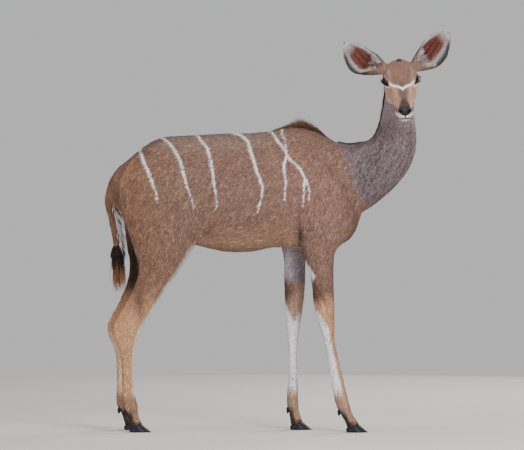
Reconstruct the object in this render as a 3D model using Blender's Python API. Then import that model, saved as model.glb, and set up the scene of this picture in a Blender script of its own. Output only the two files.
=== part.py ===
"""A greater kudu cow, life size, standing side on with her head turned to her right.

X runs forward along the body, Y to her left and Z up, all in metres. The flesh is lofted as a few
overlapping forms, fused and smoothed into one body, then parted with thin plane cuts into the parts
that a person would name. Eyes, ears, tail, claws and dewclaws are pieces of their own, and the crest
and the tail's brush are flat tapered locks fused to the node that they grow from.
"""

import math
import random

import bmesh
import bpy
import numpy as np
from mathutils import Matrix, Vector

# Driving dimensions, in metres
GAP = 0.0003
VOXEL = 0.005
SMOOTH_ROUNDS = 8
TRUNK_SMOOTH_ROUNDS = 30
RING_POINTS = 28

# Trunk sections: x, top, bottom, half width, level of the widest point, upper and lower fullness
TRUNK = (
    (-0.486, 1.000, 0.930, 0.030, 0.5, 2.0, 2.0),
    (-0.466, 1.030, 0.880, 0.080, 0.5, 2.0, 2.0),
    (-0.420, 1.069, 0.830, 0.118, 0.5, 2.1, 2.0),
    (-0.355, 1.122, 0.790, 0.142, 0.5, 2.1, 2.0),
    (-0.290, 1.154, 0.766, 0.153, 0.54, 2.3, 2.0),
    (-0.210, 1.162, 0.746, 0.155, 0.54, 2.35, 2.1),
    (-0.130, 1.166, 0.724, 0.161, 0.46, 2.15, 2.2),
    (-0.030, 1.172, 0.704, 0.176, 0.42, 1.95, 2.2),
    (0.070, 1.174, 0.706, 0.180, 0.42, 1.9, 2.2),
    (0.140, 1.183, 0.720, 0.172, 0.43, 1.75, 2.1),
    (0.210, 1.202, 0.722, 0.155, 0.44, 1.6, 2.0),
    (0.270, 1.205, 0.717, 0.138, 0.45, 1.5, 2.0),
    (0.330, 1.186, 0.716, 0.124, 0.45, 1.55, 2.0),
    (0.390, 1.140, 0.724, 0.113, 0.45, 1.7, 2.2),
    (0.440, 1.060, 0.746, 0.098, 0.45, 1.9, 2.2),
    (0.472, 0.990, 0.782, 0.070, 0.45, 2.0, 2.0),
    (0.496, 0.930, 0.845, 0.030, 0.5, 2.0, 2.0),
)

# Neck sections: centre x, y, z, half depth along the side view, half width
NECK = (
    (0.330, 0.000, 0.985, 0.160, 0.105),
    (0.446, 0.000, 0.994, 0.147, 0.092),
    (0.513, 0.000, 1.019, 0.126, 0.079),
    (0.570, -0.005, 1.055, 0.110, 0.071),
    (0.609, -0.012, 1.095, 0.097, 0.064),
    (0.629, -0.022, 1.146, 0.087, 0.060),
    (0.638, -0.035, 1.203, 0.073, 0.058),
    (0.642, -0.044, 1.265, 0.063, 0.058),
    (0.646, -0.050, 1.318, 0.060, 0.058),
    (0.648, -0.062, 1.375, 0.054, 0.050),
)

# The head's own frame: origin at the back of the skull, u along the face, v to her left, w up
HEAD_ORIGIN = Vector((0.641, -0.050, 1.434))
HEAD_PITCH = math.radians(31)
HEAD_ROLL = math.radians(3.5)
HEAD_TURN = math.radians(2)
HEAD_LENGTH = 0.330

# Head sections: u, top, bottom, half width, level of the widest point, upper and lower fullness
SKULL = (
    (-0.004, 0.005, -0.045, 0.025, 0.5, 2.0, 2.0),
    (0.010, 0.028, -0.070, 0.050, 0.5, 2.0, 2.0),
    (0.040, 0.044, -0.096, 0.064, 0.55, 2.1, 2.0),
    (0.075, 0.052, -0.108, 0.068, 0.58, 2.3, 1.9),
    (0.110, 0.052, -0.110, 0.064, 0.60, 2.4, 1.8),
    (0.145, 0.046, -0.104, 0.058, 0.58, 2.3, 1.8),
    (0.185, 0.036, -0.092, 0.048, 0.55, 2.1, 1.8),
    (0.225, 0.026, -0.080, 0.040, 0.50, 2.1, 1.9),
    (0.262, 0.018, -0.074, 0.036, 0.48, 2.2, 2.0),
    (0.295, 0.011, -0.071, 0.036, 0.45, 2.3, 2.0),
    (0.314, 0.004, -0.064, 0.032, 0.45, 2.3, 2.0),
    (0.326, -0.008, -0.052, 0.023, 0.5, 2.2, 2.0),
    (HEAD_LENGTH, -0.018, -0.040, 0.012, 0.5, 2.0, 2.0),
)

# Rounded forms on the head: centre u, v, w and the three radii, each made on both sides
HEAD_FORMS = (
    (0.116, 0.032, 0.018, 0.062, 0.036, 0.031),
    (0.132, 0.0470, 0.012, 0.0400, 0.0290, 0.0280),
    (0.098, 0.034, -0.050, 0.062, 0.031, 0.054),
    (0.056, 0.008, 0.020, 0.052, 0.046, 0.036),
    (0.292, 0.018, -0.026, 0.030, 0.021, 0.020),
    (0.286, 0.008, -0.056, 0.028, 0.018, 0.017),
    (0.312, 0.012, -0.006, 0.016, 0.015, 0.013),
)

# Rounded forms on the body, each made on both sides: shoulder point, brisket and hip
BODY_FORMS = (
    (0.366, 0.080, 0.905, 0.084, 0.056, 0.150),
    (0.414, 0.022, 0.884, 0.078, 0.082, 0.112),
    (-0.215, 0.070, 1.082, 0.100, 0.052, 0.048),
)

# Leg sections from the top down: z, back, front, y from the middle, half width, front fullness
NEAR_FORE = (
    (1.130, 0.235, 0.315, 0.048, 0.030, 0.0),
    (1.060, 0.238, 0.372, 0.072, 0.040, 0.0),
    (0.960, 0.246, 0.430, 0.088, 0.050, 0.0),
    (0.860, 0.255, 0.470, 0.098, 0.055, 0.0),
    (0.770, 0.258, 0.450, 0.102, 0.054, 0.05),
    (0.717, 0.262, 0.400, 0.102, 0.050, 0.1),
    (0.674, 0.277, 0.389, 0.100, 0.045, 0.15),
    (0.595, 0.297, 0.388, 0.098, 0.039, 0.15),
    (0.517, 0.305, 0.391, 0.096, 0.034, 0.1),
    (0.438, 0.323, 0.392, 0.094, 0.033, 0.0),
    (0.370, 0.344, 0.391, 0.092, 0.026, 0.0),
    (0.300, 0.359, 0.405, 0.091, 0.021, 0.0),
    (0.220, 0.373, 0.424, 0.089, 0.020, 0.0),
    (0.150, 0.384, 0.441, 0.088, 0.024, 0.0),
    (0.105, 0.395, 0.452, 0.087, 0.027, 0.0),
    (0.070, 0.414, 0.464, 0.087, 0.026, 0.0),
    (0.035, 0.433, 0.488, 0.087, 0.026, 0.0),
    (0.010, 0.438, 0.500, 0.087, 0.026, 0.0),
)
FAR_FORE = (
    (1.130, 0.235, 0.315, 0.048, 0.030, 0.0),
    (1.060, 0.225, 0.372, 0.072, 0.040, 0.0),
    (0.960, 0.210, 0.415, 0.088, 0.050, 0.0),
    (0.870, 0.192, 0.395, 0.098, 0.055, 0.0),
    (0.790, 0.178, 0.345, 0.102, 0.054, 0.05),
    (0.730, 0.179, 0.302, 0.102, 0.051, 0.1),
    (0.674, 0.191, 0.281, 0.100, 0.045, 0.15),
    (0.595, 0.191, 0.279, 0.098, 0.039, 0.15),
    (0.517, 0.194, 0.273, 0.096, 0.034, 0.1),
    (0.438, 0.199, 0.262, 0.094, 0.033, 0.0),
    (0.370, 0.205, 0.251, 0.092, 0.026, 0.0),
    (0.300, 0.209, 0.245, 0.091, 0.021, 0.0),
    (0.220, 0.210, 0.247, 0.089, 0.020, 0.0),
    (0.150, 0.204, 0.250, 0.088, 0.024, 0.0),
    (0.105, 0.202, 0.251, 0.087, 0.027, 0.0),
    (0.070, 0.211, 0.255, 0.087, 0.026, 0.0),
    (0.035, 0.216, 0.267, 0.087, 0.026, 0.0),
    (0.010, 0.218, 0.280, 0.087, 0.026, 0.0),
)
NEAR_HIND = (
    (1.110, -0.360, -0.190, 0.070, 0.050, 0.0),
    (1.050, -0.425, -0.150, 0.082, 0.064, 0.0),
    (0.960, -0.463, -0.135, 0.090, 0.074, 0.0),
    (0.870, -0.452, -0.122, 0.092, 0.076, 0.1),
    (0.790, -0.424, -0.132, 0.092, 0.072, 0.15),
    (0.713, -0.397, -0.165, 0.092, 0.062, 0.2),
    (0.640, -0.380, -0.212, 0.091, 0.050, 0.25),
    (0.575, -0.396, -0.260, 0.090, 0.040, 0.3),
    (0.500, -0.436, -0.308, 0.088, 0.032, 0.35),
    (0.425, -0.481, -0.357, 0.086, 0.028, 0.35),
    (0.385, -0.483, -0.374, 0.085, 0.028, 0.3),
    (0.345, -0.466, -0.386, 0.084, 0.026, 0.2),
    (0.290, -0.449, -0.394, 0.083, 0.022, 0.1),
    (0.215, -0.445, -0.395, 0.082, 0.020, 0.0),
    (0.150, -0.446, -0.390, 0.081, 0.023, 0.0),
    (0.105, -0.446, -0.380, 0.080, 0.027, 0.0),
    (0.070, -0.428, -0.378, 0.080, 0.026, 0.0),
    (0.035, -0.416, -0.363, 0.080, 0.026, 0.0),
    (0.010, -0.413, -0.352, 0.080, 0.026, 0.0),
)
# The far hind leg stands a little further back than the near one: height and how far back
FAR_HIND_SETBACK = ((0.0, 0.024), (0.45, 0.024), (0.62, 0.040), (0.72, 0.030), (0.85, 0.0), (1.2, 0.0))

# Cuts between the parts: heights of the level ones, and a point and a normal for the slanted ones
LEG_TOP = 0.698
KNEE = 0.462
HOCK = 0.420
NECK_ROOT = (Vector((0.413, 0.0, 1.146)), Vector((0.90, 0.0, 0.436)).normalized())
NECK_MIDDLE = (Vector((0.612, -0.013, 1.104)), Vector((0.365, -0.150, 0.920)).normalized())
HEAD_JOINT = (Vector((0.640, 0.005, 1.400)), Vector((0.0, -0.69, 0.72)).normalized())

# Triangles kept in each part before its details are cut or fused
TORSO_TRIANGLES = 2000
NECK_TRIANGLES = 360
HEAD_TRIANGLES = 2100
UPPER_LEG_TRIANGLES = 270
LOWER_LEG_TRIANGLES = 360

# Eyes: centre in the head's frame, ball radius, and the almond that the lids leave open
EYE_CENTRE = (0.128, 0.0515, 0.014)
EYE_RADIUS = 0.020
EYE_GAZE = Vector((0.50, 0.84, 0.16)).normalized()
LID_OPENING = (0.0180, 0.0125)
LID_RIM = 0.0020
LID_BULGE = 0.0220
LID_SIDES = 5

# Mouth line, as u, v, w of one side from the corner to the front, and the width and depth of its groove
MOUTH = (
    (0.232, 0.034, -0.046),
    (0.262, 0.0345, -0.052),
    (0.292, 0.0325, -0.052),
    (0.312, 0.024, -0.050),
    (0.324, 0.010, -0.049),
)
MOUTH_WIDTH = 0.0024
MOUTH_DEPTH = 0.005

# Nostril: centre, radii and turn about the head's up axis
NOSTRIL_CENTRE = (0.3215, 0.0165, -0.010)
NOSTRIL_RADII = (0.012, 0.0052, 0.0075)
NOSTRIL_TURN = math.radians(38)

# Ears: root in the head's frame, and for each the direction in the world and the side it opens to
EAR_ROOT = (0.040, 0.054, 0.014)
EAR_STUMP = (0.023, 0.024, 0.023)
EAR_LENGTH = 0.205
EAR_WIDTH = 0.104
EAR_WALL = 0.0032
EAR_BOW = 0.029
EAR_ROWS = 14
EAR_ARC = 8
EARS = {
    "ear_right": (-1, Vector((-0.72, 0.38, 0.46)), Vector((-0.12, -0.94, 0.30)), Vector((-0.4, 0, -1))),
    "ear_left": (1, Vector((0.63, 0.30, 0.68)), Vector((0.20, -0.96, 0.10)), Vector((0.9, 0, -0.6))),
}

# Tail: x and z of its middle line, half depth and half width, then its locks of long hair
TAIL = (
    (-0.474, 1.004, 0.017, 0.018),
    (-0.489, 0.965, 0.016, 0.018),
    (-0.493, 0.910, 0.014, 0.018),
    (-0.483, 0.851, 0.015, 0.020),
    (-0.472, 0.792, 0.015, 0.020),
    (-0.464, 0.733, 0.013, 0.018),
    (-0.461, 0.675, 0.010, 0.013),
    (-0.461, 0.630, 0.004, 0.005),
)
TAIL_FRINGE_LOCKS = 12
TAIL_FRINGE_LENGTH = 0.092
TAIL_TUFT_LOCKS = 12
TAIL_LOCK_WIDTH = 0.026
TAIL_LOCK_THICKNESS = 0.009
TAIL_TIP = 0.545

# Crest on the withers: from where to where along the back, and the locks' size and rise
CREST_SPAN = (0.165, 0.350)
CREST_LOCKS = 26
CREST_LENGTH = 0.074
CREST_LOCK_WIDTH = 0.014
CREST_LOCK_THICKNESS = 0.006
NAPE_SPAN = (0.18, 0.92)
NAPE_LOCKS = 16
NAPE_LENGTH = 0.036
NAPE_LOCK_WIDTH = 0.012

# Claws: length, width, run of the front wall for its rise, height at the heel and at the front of the
# coronet, and the gap between a pair
CLAW_LENGTH = 0.088
CLAW_WIDTH = 0.0265
CLAW_SLOPE = 1.20
CLAW_HEEL = 0.014
CLAW_FRONT = 0.031
CLEFT = 0.003
# Levels of a claw: height, how much narrower than the sole, and where its heel begins
CLAW_RINGS = (
    (0.0, 0.0, 0.006),
    (0.006, 0.0, 0.001),
    (0.018, 0.0005, 0.0),
    (0.05, 0.003, 0.002),
)
CORONET_X = 0.050
DEWCLAW = (0.011, 0.009, 0.015)
DEWCLAW_HEIGHT = 0.078
DEWCLAW_SPREAD = 0.013

SEED = 7


def paint(obj, name, colour, roughness):
    """Gives a piece its material."""
    material = bpy.data.materials.get(name) or bpy.data.materials.new(name)
    material.use_nodes = True
    shader = material.node_tree.nodes["Principled BSDF"]
    shader.inputs["Base Color"].default_value = (*colour, 1.0)
    shader.inputs["Roughness"].default_value = roughness
    obj.data.materials.clear()
    obj.data.materials.append(material)


def object_from(name, points, faces):
    """A mesh object with its faces turned outwards."""
    mesh = bpy.data.meshes.new(name)
    mesh.from_pydata([tuple(p) for p in points], [], faces)
    shape = bmesh.new()
    shape.from_mesh(mesh)
    bmesh.ops.recalc_face_normals(shape, faces=shape.faces)
    shape.to_mesh(mesh)
    shape.free()
    obj = bpy.data.objects.new(name, mesh)
    bpy.context.scene.collection.objects.link(obj)
    return obj


def smooth_run(rows, steps):
    """A smooth run through the stations, with so many steps from each to the next."""
    p = np.array(rows, float)
    p = np.vstack([2 * p[0] - p[1], p, 2 * p[-1] - p[-2]])
    t = np.linspace(0, 1, steps, endpoint=False)[:, None]
    runs = []
    for a, b, c, d in zip(p, p[1:], p[2:], p[3:]):
        runs.append(0.5 * (2 * b + (c - a) * t + (2 * a - 5 * b + 4 * c - d) * t**2
                           + (3 * b - a - 3 * c + d) * t**3))
    return np.vstack([*runs, p[-2][None]])


def loft(name, rings, tip=None):
    """A closed solid through rings of equally many points, each end drawn to its middle or a tip."""
    rings = [np.asarray(r) for r in rings]
    count = len(rings[0])
    points = [*np.vstack(rings), rings[0].mean(0), rings[-1].mean(0) if tip is None else tip]
    faces = []
    for row in range(len(rings) - 1):
        for i in range(count):
            j = (i + 1) % count
            low, high = row * count, (row + 1) * count
            faces.append((low + i, low + j, high + j, high + i))
    last, first_end, last_end = (len(rings) - 1) * count, len(points) - 2, len(points) - 1
    for i in range(count):
        j = (i + 1) % count
        faces.append((i, first_end, j))
        faces.append((last + i, last + j, last_end))
    return object_from(name, points, faces)


def section(along, top, bottom, half, level, upper, lower):
    """An upright section: an egg whose upper and lower halves have their own fullness."""
    turn = np.linspace(0, 2 * math.pi, RING_POINTS, endpoint=False)
    side, lift = np.cos(turn), np.sin(turn)
    power = np.where(lift > 0, 2 / upper, 2 / lower)
    middle = bottom + level * (top - bottom)
    reach = np.where(lift > 0, top - middle, middle - bottom)
    across = half * np.sign(side) * np.abs(side) ** power
    height = middle + reach * np.sign(lift) * np.abs(lift) ** power
    return np.stack([np.full(RING_POINTS, along), across, height], 1)


def leg_ring(z, back, front, y, half, fullness):
    """A level section of a leg, fuller in front by fullness."""
    turn = np.linspace(0, 2 * math.pi, RING_POINTS, endpoint=False)
    x = (back + front) / 2 + (front - back) / 2 * np.cos(turn)
    across = y + half * np.sin(turn) * (1 + fullness * np.cos(turn))
    return np.stack([x, across, np.full(RING_POINTS, z)], 1)


def neck_rings():
    """Sections square to the neck's own line."""
    run = smooth_run(NECK, 4)
    turn = np.linspace(0, 2 * math.pi, RING_POINTS, endpoint=False)[:, None]
    rings = []
    for i, (x, y, z, deep, wide) in enumerate(run):
        ahead = run[min(i + 1, len(run) - 1)][:3] - run[max(i - 1, 0)][:3]
        across = np.cross(np.cross(ahead, (0, 1, 0)), ahead)
        across /= np.linalg.norm(across)
        depth = np.cross(across, ahead)
        depth /= np.linalg.norm(depth)
        rings.append(np.array((x, y, z)) + deep * np.cos(turn) * depth + wide * np.sin(turn) * across)
    return rings


def ball(name, centre, radii, segments=20, rows=12):
    """An egg-shaped form, with its middle at centre."""
    shape = bmesh.new()
    bmesh.ops.create_uvsphere(shape, u_segments=segments, v_segments=rows, radius=1)
    bmesh.ops.scale(shape, vec=radii, verts=shape.verts)
    bmesh.ops.translate(shape, vec=centre, verts=shape.verts)
    mesh = bpy.data.meshes.new(name)
    shape.to_mesh(mesh)
    shape.free()
    obj = bpy.data.objects.new(name, mesh)
    bpy.context.scene.collection.objects.link(obj)
    return obj


def head_frame():
    """From the head's frame to the world: u towards the nose, v to her left, w up."""
    forward = Vector((0, -math.cos(HEAD_PITCH), -math.sin(HEAD_PITCH)))
    up = Vector((0, -math.sin(HEAD_PITCH), math.cos(HEAD_PITCH)))
    left = up.cross(forward)
    turned = Matrix((forward, left, up)).transposed().to_4x4()
    roll = Matrix.Rotation(-HEAD_ROLL, 4, "Y") @ Matrix.Rotation(HEAD_TURN, 4, "Z")
    return Matrix.Translation(HEAD_ORIGIN) @ roll @ turned


def applied(obj):
    """Fixes the evaluated shape into the mesh, and removes the modifiers."""
    bpy.context.view_layer.update()
    graph = bpy.context.evaluated_depsgraph_get()
    mesh = bpy.data.meshes.new_from_object(obj.evaluated_get(graph))
    obj.modifiers.clear()
    obj.data = mesh
    return obj


def joined(objects):
    """One object that holds the meshes of all."""
    with bpy.context.temp_override(active_object=objects[0], object=objects[0],
                                   selected_editable_objects=objects, selected_objects=objects):
        bpy.ops.object.join()
    return objects[0]


def fused_body():
    """The flesh as one smooth closed surface."""
    frame = head_frame()
    forms = [loft("trunk", [section(*row) for row in smooth_run(TRUNK, 4)])]
    forms.append(loft("neck_form", neck_rings()))
    skull = loft("skull", [section(*row) for row in smooth_run(SKULL, 4)])
    skull.data.transform(frame)
    forms.append(skull)
    for side in (-1, 1):
        for u, v, w, *radii in HEAD_FORMS:
            form = ball("head_form", (u, side * v, w), radii)
            form.data.transform(frame)
            forms.append(form)
        root = Vector((EAR_ROOT[0], side * EAR_ROOT[1], EAR_ROOT[2]))
        form = ball("ear_root", root, EAR_STUMP)
        form.data.transform(frame)
        forms.append(form)
        for x, y, z, *radii in BODY_FORMS:
            forms.append(ball("body_form", (x, side * y, z), radii))
    for side, fore, setback in ((-1, NEAR_FORE, 0), (1, FAR_FORE, 1)):
        heights, distances = zip(*FAR_HIND_SETBACK)
        rows = [(z, b, f, side * y, h, k) for z, b, f, y, h, k in smooth_run(fore, 4)]
        forms.append(loft("fore_form", [leg_ring(*row) for row in rows]))
        rows = []
        for z, back, front, y, half, fullness in smooth_run(NEAR_HIND, 4):
            shift = setback * np.interp(z, heights, distances)
            rows.append((z, back - shift, front - shift, side * y, half, fullness))
        forms.append(loft("hind_form", [leg_ring(*row) for row in rows]))
    whole = joined(forms)
    remesh = whole.modifiers.new("fuse", "REMESH")
    remesh.mode = "VOXEL"
    remesh.voxel_size = VOXEL
    applied(whole)
    spots = np.array([v.co for v in whole.data.vertices])
    share = np.clip((spots[:, 2] - LEG_TOP) / 0.10, 0, 1) * np.clip((0.62 - spots[:, 0]) / 0.08, 0, 1)
    trunk = whole.vertex_groups.new(name="trunk")
    for level in range(1, 5):
        trunk.add(np.flatnonzero(np.round(share * 4) == level).tolist(), level / 4, "REPLACE")
    for rounds, group in ((SMOOTH_ROUNDS, ""), (TRUNK_SMOOTH_ROUNDS, "trunk")):
        ease = whole.modifiers.new("ease", "SMOOTH")
        ease.factor = 0.5
        ease.iterations = rounds
        ease.vertex_group = group
    applied(whole)
    whole.vertex_groups.clear()
    return whole


def trimmed(obj, point, normal):
    """Keeps what lies behind a plane, and closes the cut."""
    shape = bmesh.new()
    shape.from_mesh(obj.data)
    everything = [*shape.verts, *shape.edges, *shape.faces]
    bmesh.ops.bisect_plane(shape, geom=everything, dist=1e-7, plane_co=point, plane_no=normal,
                           clear_outer=True)
    rim = [edge for edge in shape.edges if edge.is_boundary]
    bmesh.ops.holes_fill(shape, edges=rim, sides=0)
    shape.to_mesh(obj.data)
    shape.free()
    return obj


def reverse(plane):
    """The same plane, facing the other way."""
    return plane[0], -plane[1]


def copy_of(obj, name):
    """A second object with a mesh of its own."""
    twin = bpy.data.objects.new(name, obj.data.copy())
    bpy.context.scene.collection.objects.link(twin)
    return twin


def split(obj, point, normal):
    """The piece behind a plane and the piece in front of it."""
    front = trimmed(copy_of(obj, obj.name + "_front"), point, -normal)
    return trimmed(obj, point, normal), front


def largest(obj):
    """Keeps only the largest closed surface of a mesh."""
    shape = bmesh.new()
    shape.from_mesh(obj.data)
    shape.verts.ensure_lookup_table()
    group = [-1] * len(shape.verts)
    sizes = []
    for start in shape.verts:
        if group[start.index] >= 0:
            continue
        mark, stack, size = len(sizes), [start], 0
        group[start.index] = mark
        while stack:
            vert = stack.pop()
            size += 1
            for edge in vert.link_edges:
                other = edge.other_vert(vert)
                if group[other.index] < 0:
                    group[other.index] = mark
                    stack.append(other)
        sizes.append(size)
    kept = sizes.index(max(sizes))
    bmesh.ops.delete(shape, geom=[v for v in shape.verts if group[v.index] != kept], context="VERTS")
    shape.to_mesh(obj.data)
    shape.free()
    return obj


def thinned(obj, triangles):
    """Brings a part down to so many triangles."""
    obj.data.calc_loop_triangles()
    thin = obj.modifiers.new("thin", "DECIMATE")
    thin.ratio = min(1.0, triangles / len(obj.data.loop_triangles))
    thin.use_collapse_triangulate = True
    return applied(obj)


def finished(obj, name, triangles, *planes):
    """A named part, thinned, then cut flat half a gap behind each of its planes."""
    largest(obj)
    thinned(obj, triangles)
    for point, normal in planes:
        trimmed(obj, point - normal * GAP / 2, normal)
    obj.name = name
    obj.data.name = name
    return largest(obj)


def boolean(obj, others, operation, solver="EXACT"):
    """Cuts the others from a piece, or fuses them to it, and removes them."""
    group = bpy.data.collections.new("tools")
    for other in others:
        group.objects.link(other)
    step = obj.modifiers.new("step", "BOOLEAN")
    step.operation = operation
    step.solver = solver
    step.operand_type = "COLLECTION"
    step.collection = group
    applied(obj)
    for other in others:
        bpy.data.objects.remove(other)
    bpy.data.collections.remove(group)
    return largest(obj)


def swollen(obj, by):
    """A copy that is larger all over by so much."""
    twin = copy_of(obj, "swollen")
    grow = twin.modifiers.new("grow", "DISPLACE")
    grow.strength = by
    grow.mid_level = 0
    return applied(twin)


def almond(half_long, half_high, count=16):
    """Points round the opening between the lids, pointed at both corners."""
    turn = np.linspace(0, 2 * math.pi, count, endpoint=False)
    long_way = half_long * np.cos(turn)
    high_way = half_high * np.sin(turn) * np.abs(np.sin(turn)) ** 0.35
    return long_way, high_way


def eye_axes(side):
    """Gaze, the long way of the eye and the high way, in the head's frame."""
    gaze = Vector((EYE_GAZE.x, side * EYE_GAZE.y, EYE_GAZE.z))
    long_way = (Vector((0.93, 0, -0.36)) - gaze * gaze.dot(Vector((0.93, 0, -0.36)))).normalized()
    return gaze, long_way, gaze.cross(long_way).normalized()


def add_eye(head, side, name):
    """Opens the lids over one eye, rims them, and sets the ball in its socket."""
    frame = head_frame()
    centre = Vector((EYE_CENTRE[0], side * EYE_CENTRE[1], EYE_CENTRE[2]))
    gaze, long_way, high_way = eye_axes(side)
    along, up = almond(*LID_OPENING)

    rim = []
    for ring in range(len(along)):
        spot = np.array(long_way) * along[ring] + np.array(high_way) * up[ring]
        depth = math.sqrt(max(LID_BULGE**2 - float(spot @ spot), 1e-8))
        middle = np.array(centre) + spot + np.array(gaze) * depth
        outward = spot / np.linalg.norm(spot)
        turn = np.linspace(0, 2 * math.pi, LID_SIDES, endpoint=False)[:, None]
        rim.append(middle + LID_RIM * (np.cos(turn) * outward + np.sin(turn) * np.array(gaze)))
    points = np.vstack(rim)
    faces = []
    for ring in range(len(rim)):
        here, there = ring * LID_SIDES, (ring + 1) % len(rim) * LID_SIDES
        for i in range(LID_SIDES):
            j = (i + 1) % LID_SIDES
            faces.append((here + i, here + j, there + j, there + i))
    lids = object_from("lids", points, faces)
    lids.data.transform(frame)
    boolean(head, [lids], "UNION", "MANIFOLD")

    inner = [np.array(centre) + np.outer(along, long_way) + np.outer(up, high_way)]
    outer = [inner[0] + np.array(gaze) * 2 * LID_BULGE]
    opening = loft("opening", inner + outer)
    opening.data.transform(frame)
    socket = ball("socket", centre, (EYE_RADIUS + GAP,) * 3, 14, 10)
    socket.data.transform(frame)
    boolean(head, [opening, socket], "DIFFERENCE", "MANIFOLD")

    eye = ball(name, centre, (EYE_RADIUS,) * 3, 14, 10)
    eye.data.transform(frame)
    return eye


def cut_mouth(head):
    """The line of the mouth, from corner to corner round the front."""
    side = np.array(MOUTH)
    mirrored = side[::-1] * (1, -1, 1)
    front = np.array([[HEAD_LENGTH - 0.002, 0.0, -0.0485]])
    path = smooth_run(np.vstack([side, front, mirrored]), 2)
    rings = []
    for i, spot in enumerate(path):
        ahead = path[min(i + 1, len(path) - 1)] - path[max(i - 1, 0)]
        outward = np.cross(ahead, (0, 0, 1))
        outward /= np.linalg.norm(outward)
        high = np.cross(outward, ahead)
        high /= np.linalg.norm(high)
        thick = MOUTH_WIDTH / 2 * min(1.0, 0.4 + 0.3 * min(i, len(path) - 1 - i))
        rings.append([spot - outward * MOUTH_DEPTH, spot + high * thick,
                      spot + outward * MOUTH_DEPTH * 2 + high * thick * 2,
                      spot + outward * MOUTH_DEPTH * 2 - high * thick * 2, spot - high * thick])
    groove = loft("groove", rings)
    groove.data.transform(head_frame())
    boolean(head, [groove], "DIFFERENCE", "MANIFOLD")


def cut_nostrils(head):
    """Two comma-like openings in the nose pad."""
    cutters = []
    for side in (-1, 1):
        pit = ball("pit", (0, 0, 0), NOSTRIL_RADII, 12, 8)
        pit.data.transform(Matrix.Rotation(side * NOSTRIL_TURN, 4, "Z"))
        u, v, w = NOSTRIL_CENTRE
        pit.data.transform(head_frame() @ Matrix.Translation((u, side * v, w)))
        cutters.append(pit)
    boolean(head, cutters, "DIFFERENCE", "MANIFOLD")


def ear(name, side, axis, opening, lower, head):
    """A cupped ear: a tube at its root that opens into a broad, pointed scoop, fuller below."""
    axis = np.array(axis.normalized())
    opening = np.array(opening)
    opening -= axis * (opening @ axis)
    opening /= np.linalg.norm(opening)
    across = np.cross(axis, opening)
    bow = across * EAR_BOW * (1 if across @ np.array(lower) > 0 else -1)
    root = np.array(head_frame() @ Vector((EAR_ROOT[0], side * EAR_ROOT[1], EAR_ROOT[2])))
    rings = []
    for s in np.linspace(0, 1, EAR_ROWS) ** 0.9:
        broad = EAR_WIDTH / 2 * (0.40 + 0.62 * math.sin(math.pi * min(s / 1.16, 1.0)) ** 1.15)
        broad *= math.sqrt(max(1 - max(s - 0.55, 0) ** 2 / 0.2025, 0.004))
        half_turn = math.radians(175 - 112 * min(s / 0.55, 1.0) ** 0.8 - 14 * s)
        radius = broad / (math.sin(half_turn) if half_turn < math.pi / 2 else 1.0)
        wall = EAR_WALL * (1.25 - 0.6 * s)
        opened = min(max((s - 0.04) / 0.30, 0), 1) ** 0.8
        middle = root + axis * EAR_LENGTH * s + opening * (radius - broad) * 0.75
        middle += (bow - opening * 0.013) * math.sin(math.pi * s)
        ring = []
        for t in np.linspace(-1, 1, EAR_ARC):
            turn = half_turn * t
            ring.append(middle + radius * (math.sin(turn) * across - math.cos(turn) * opening))
        for t in np.linspace(1, -1, EAR_ARC)[1:-1]:
            lip = half_turn + (math.pi - half_turn) * (1 - t)
            closed = radius * (math.sin(lip) * across - math.cos(lip) * opening)
            turn = half_turn * t * 0.98
            cup = (radius - wall) * (math.sin(turn) * across - math.cos(turn) * opening)
            ring.append(middle + closed * (1 - opened) + cup * opened)
        rings.append(np.array(ring))
    shell = loft(name, rings)
    return boolean(shell, [swollen(head, GAP)], "DIFFERENCE")


def lock(root, lie, flat, length, width, thickness, bend):
    """One flat lock of hair: it tapers from its sunk root to its tip and bends towards flat."""
    lie, flat = Vector(lie).normalized(), Vector(flat).normalized()
    across = lie.cross(flat).normalized()
    flat = across.cross(lie)
    rings = []
    for s, share in ((0.0, 0.85), (0.45, 1.0), (0.8, 0.6)):
        middle = Vector(root) + lie * length * s + flat * bend * length * s * s
        wide = width / 2 * share
        thick = thickness / 2 * (1 - 0.6 * s)
        rings.append([middle + across * wide, middle + flat * thick,
                      middle - across * wide, middle - flat * thick])
    tip = Vector(root) + lie * length + flat * bend * length
    return loft("lock", rings, tip)


def top_of(obj, x, y):
    """The point of a piece straight below a point above the back."""
    return obj.ray_cast(Vector((x, y, 2.0)), Vector((0, 0, -1)))[1]


def crest(torso):
    """The bristly crest on the withers, its locks swept back and overlapping."""
    draw = random.Random(SEED)
    locks = []
    first, last = CREST_SPAN
    for i in range(CREST_LOCKS):
        share = i / (CREST_LOCKS - 1)
        x = first + (last - first) * share
        y = (-0.006, 0.006, 0.0)[i % 3]
        spot = top_of(torso, x, y)
        back = (top_of(torso, x - 0.02, y) - spot).normalized()
        rise = 0.26 + 0.14 * math.sin(math.pi * share) + draw.uniform(-0.03, 0.03)
        lie = back + Vector((0, y * 6, rise))
        length = CREST_LENGTH * (0.62 + 0.38 * math.sin(math.pi * (0.10 + 0.75 * share)))
        length *= draw.uniform(0.92, 1.08)
        root = spot - Vector((0, 0, 0.006)) - lie.normalized() * 0.004
        bend = draw.uniform(-0.03, 0.03)
        locks.append(lock(root, lie, (0, 1, 0), length, CREST_LOCK_WIDTH, CREST_LOCK_THICKNESS, bend))
    return boolean(torso, locks, "UNION", "MANIFOLD")


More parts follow.
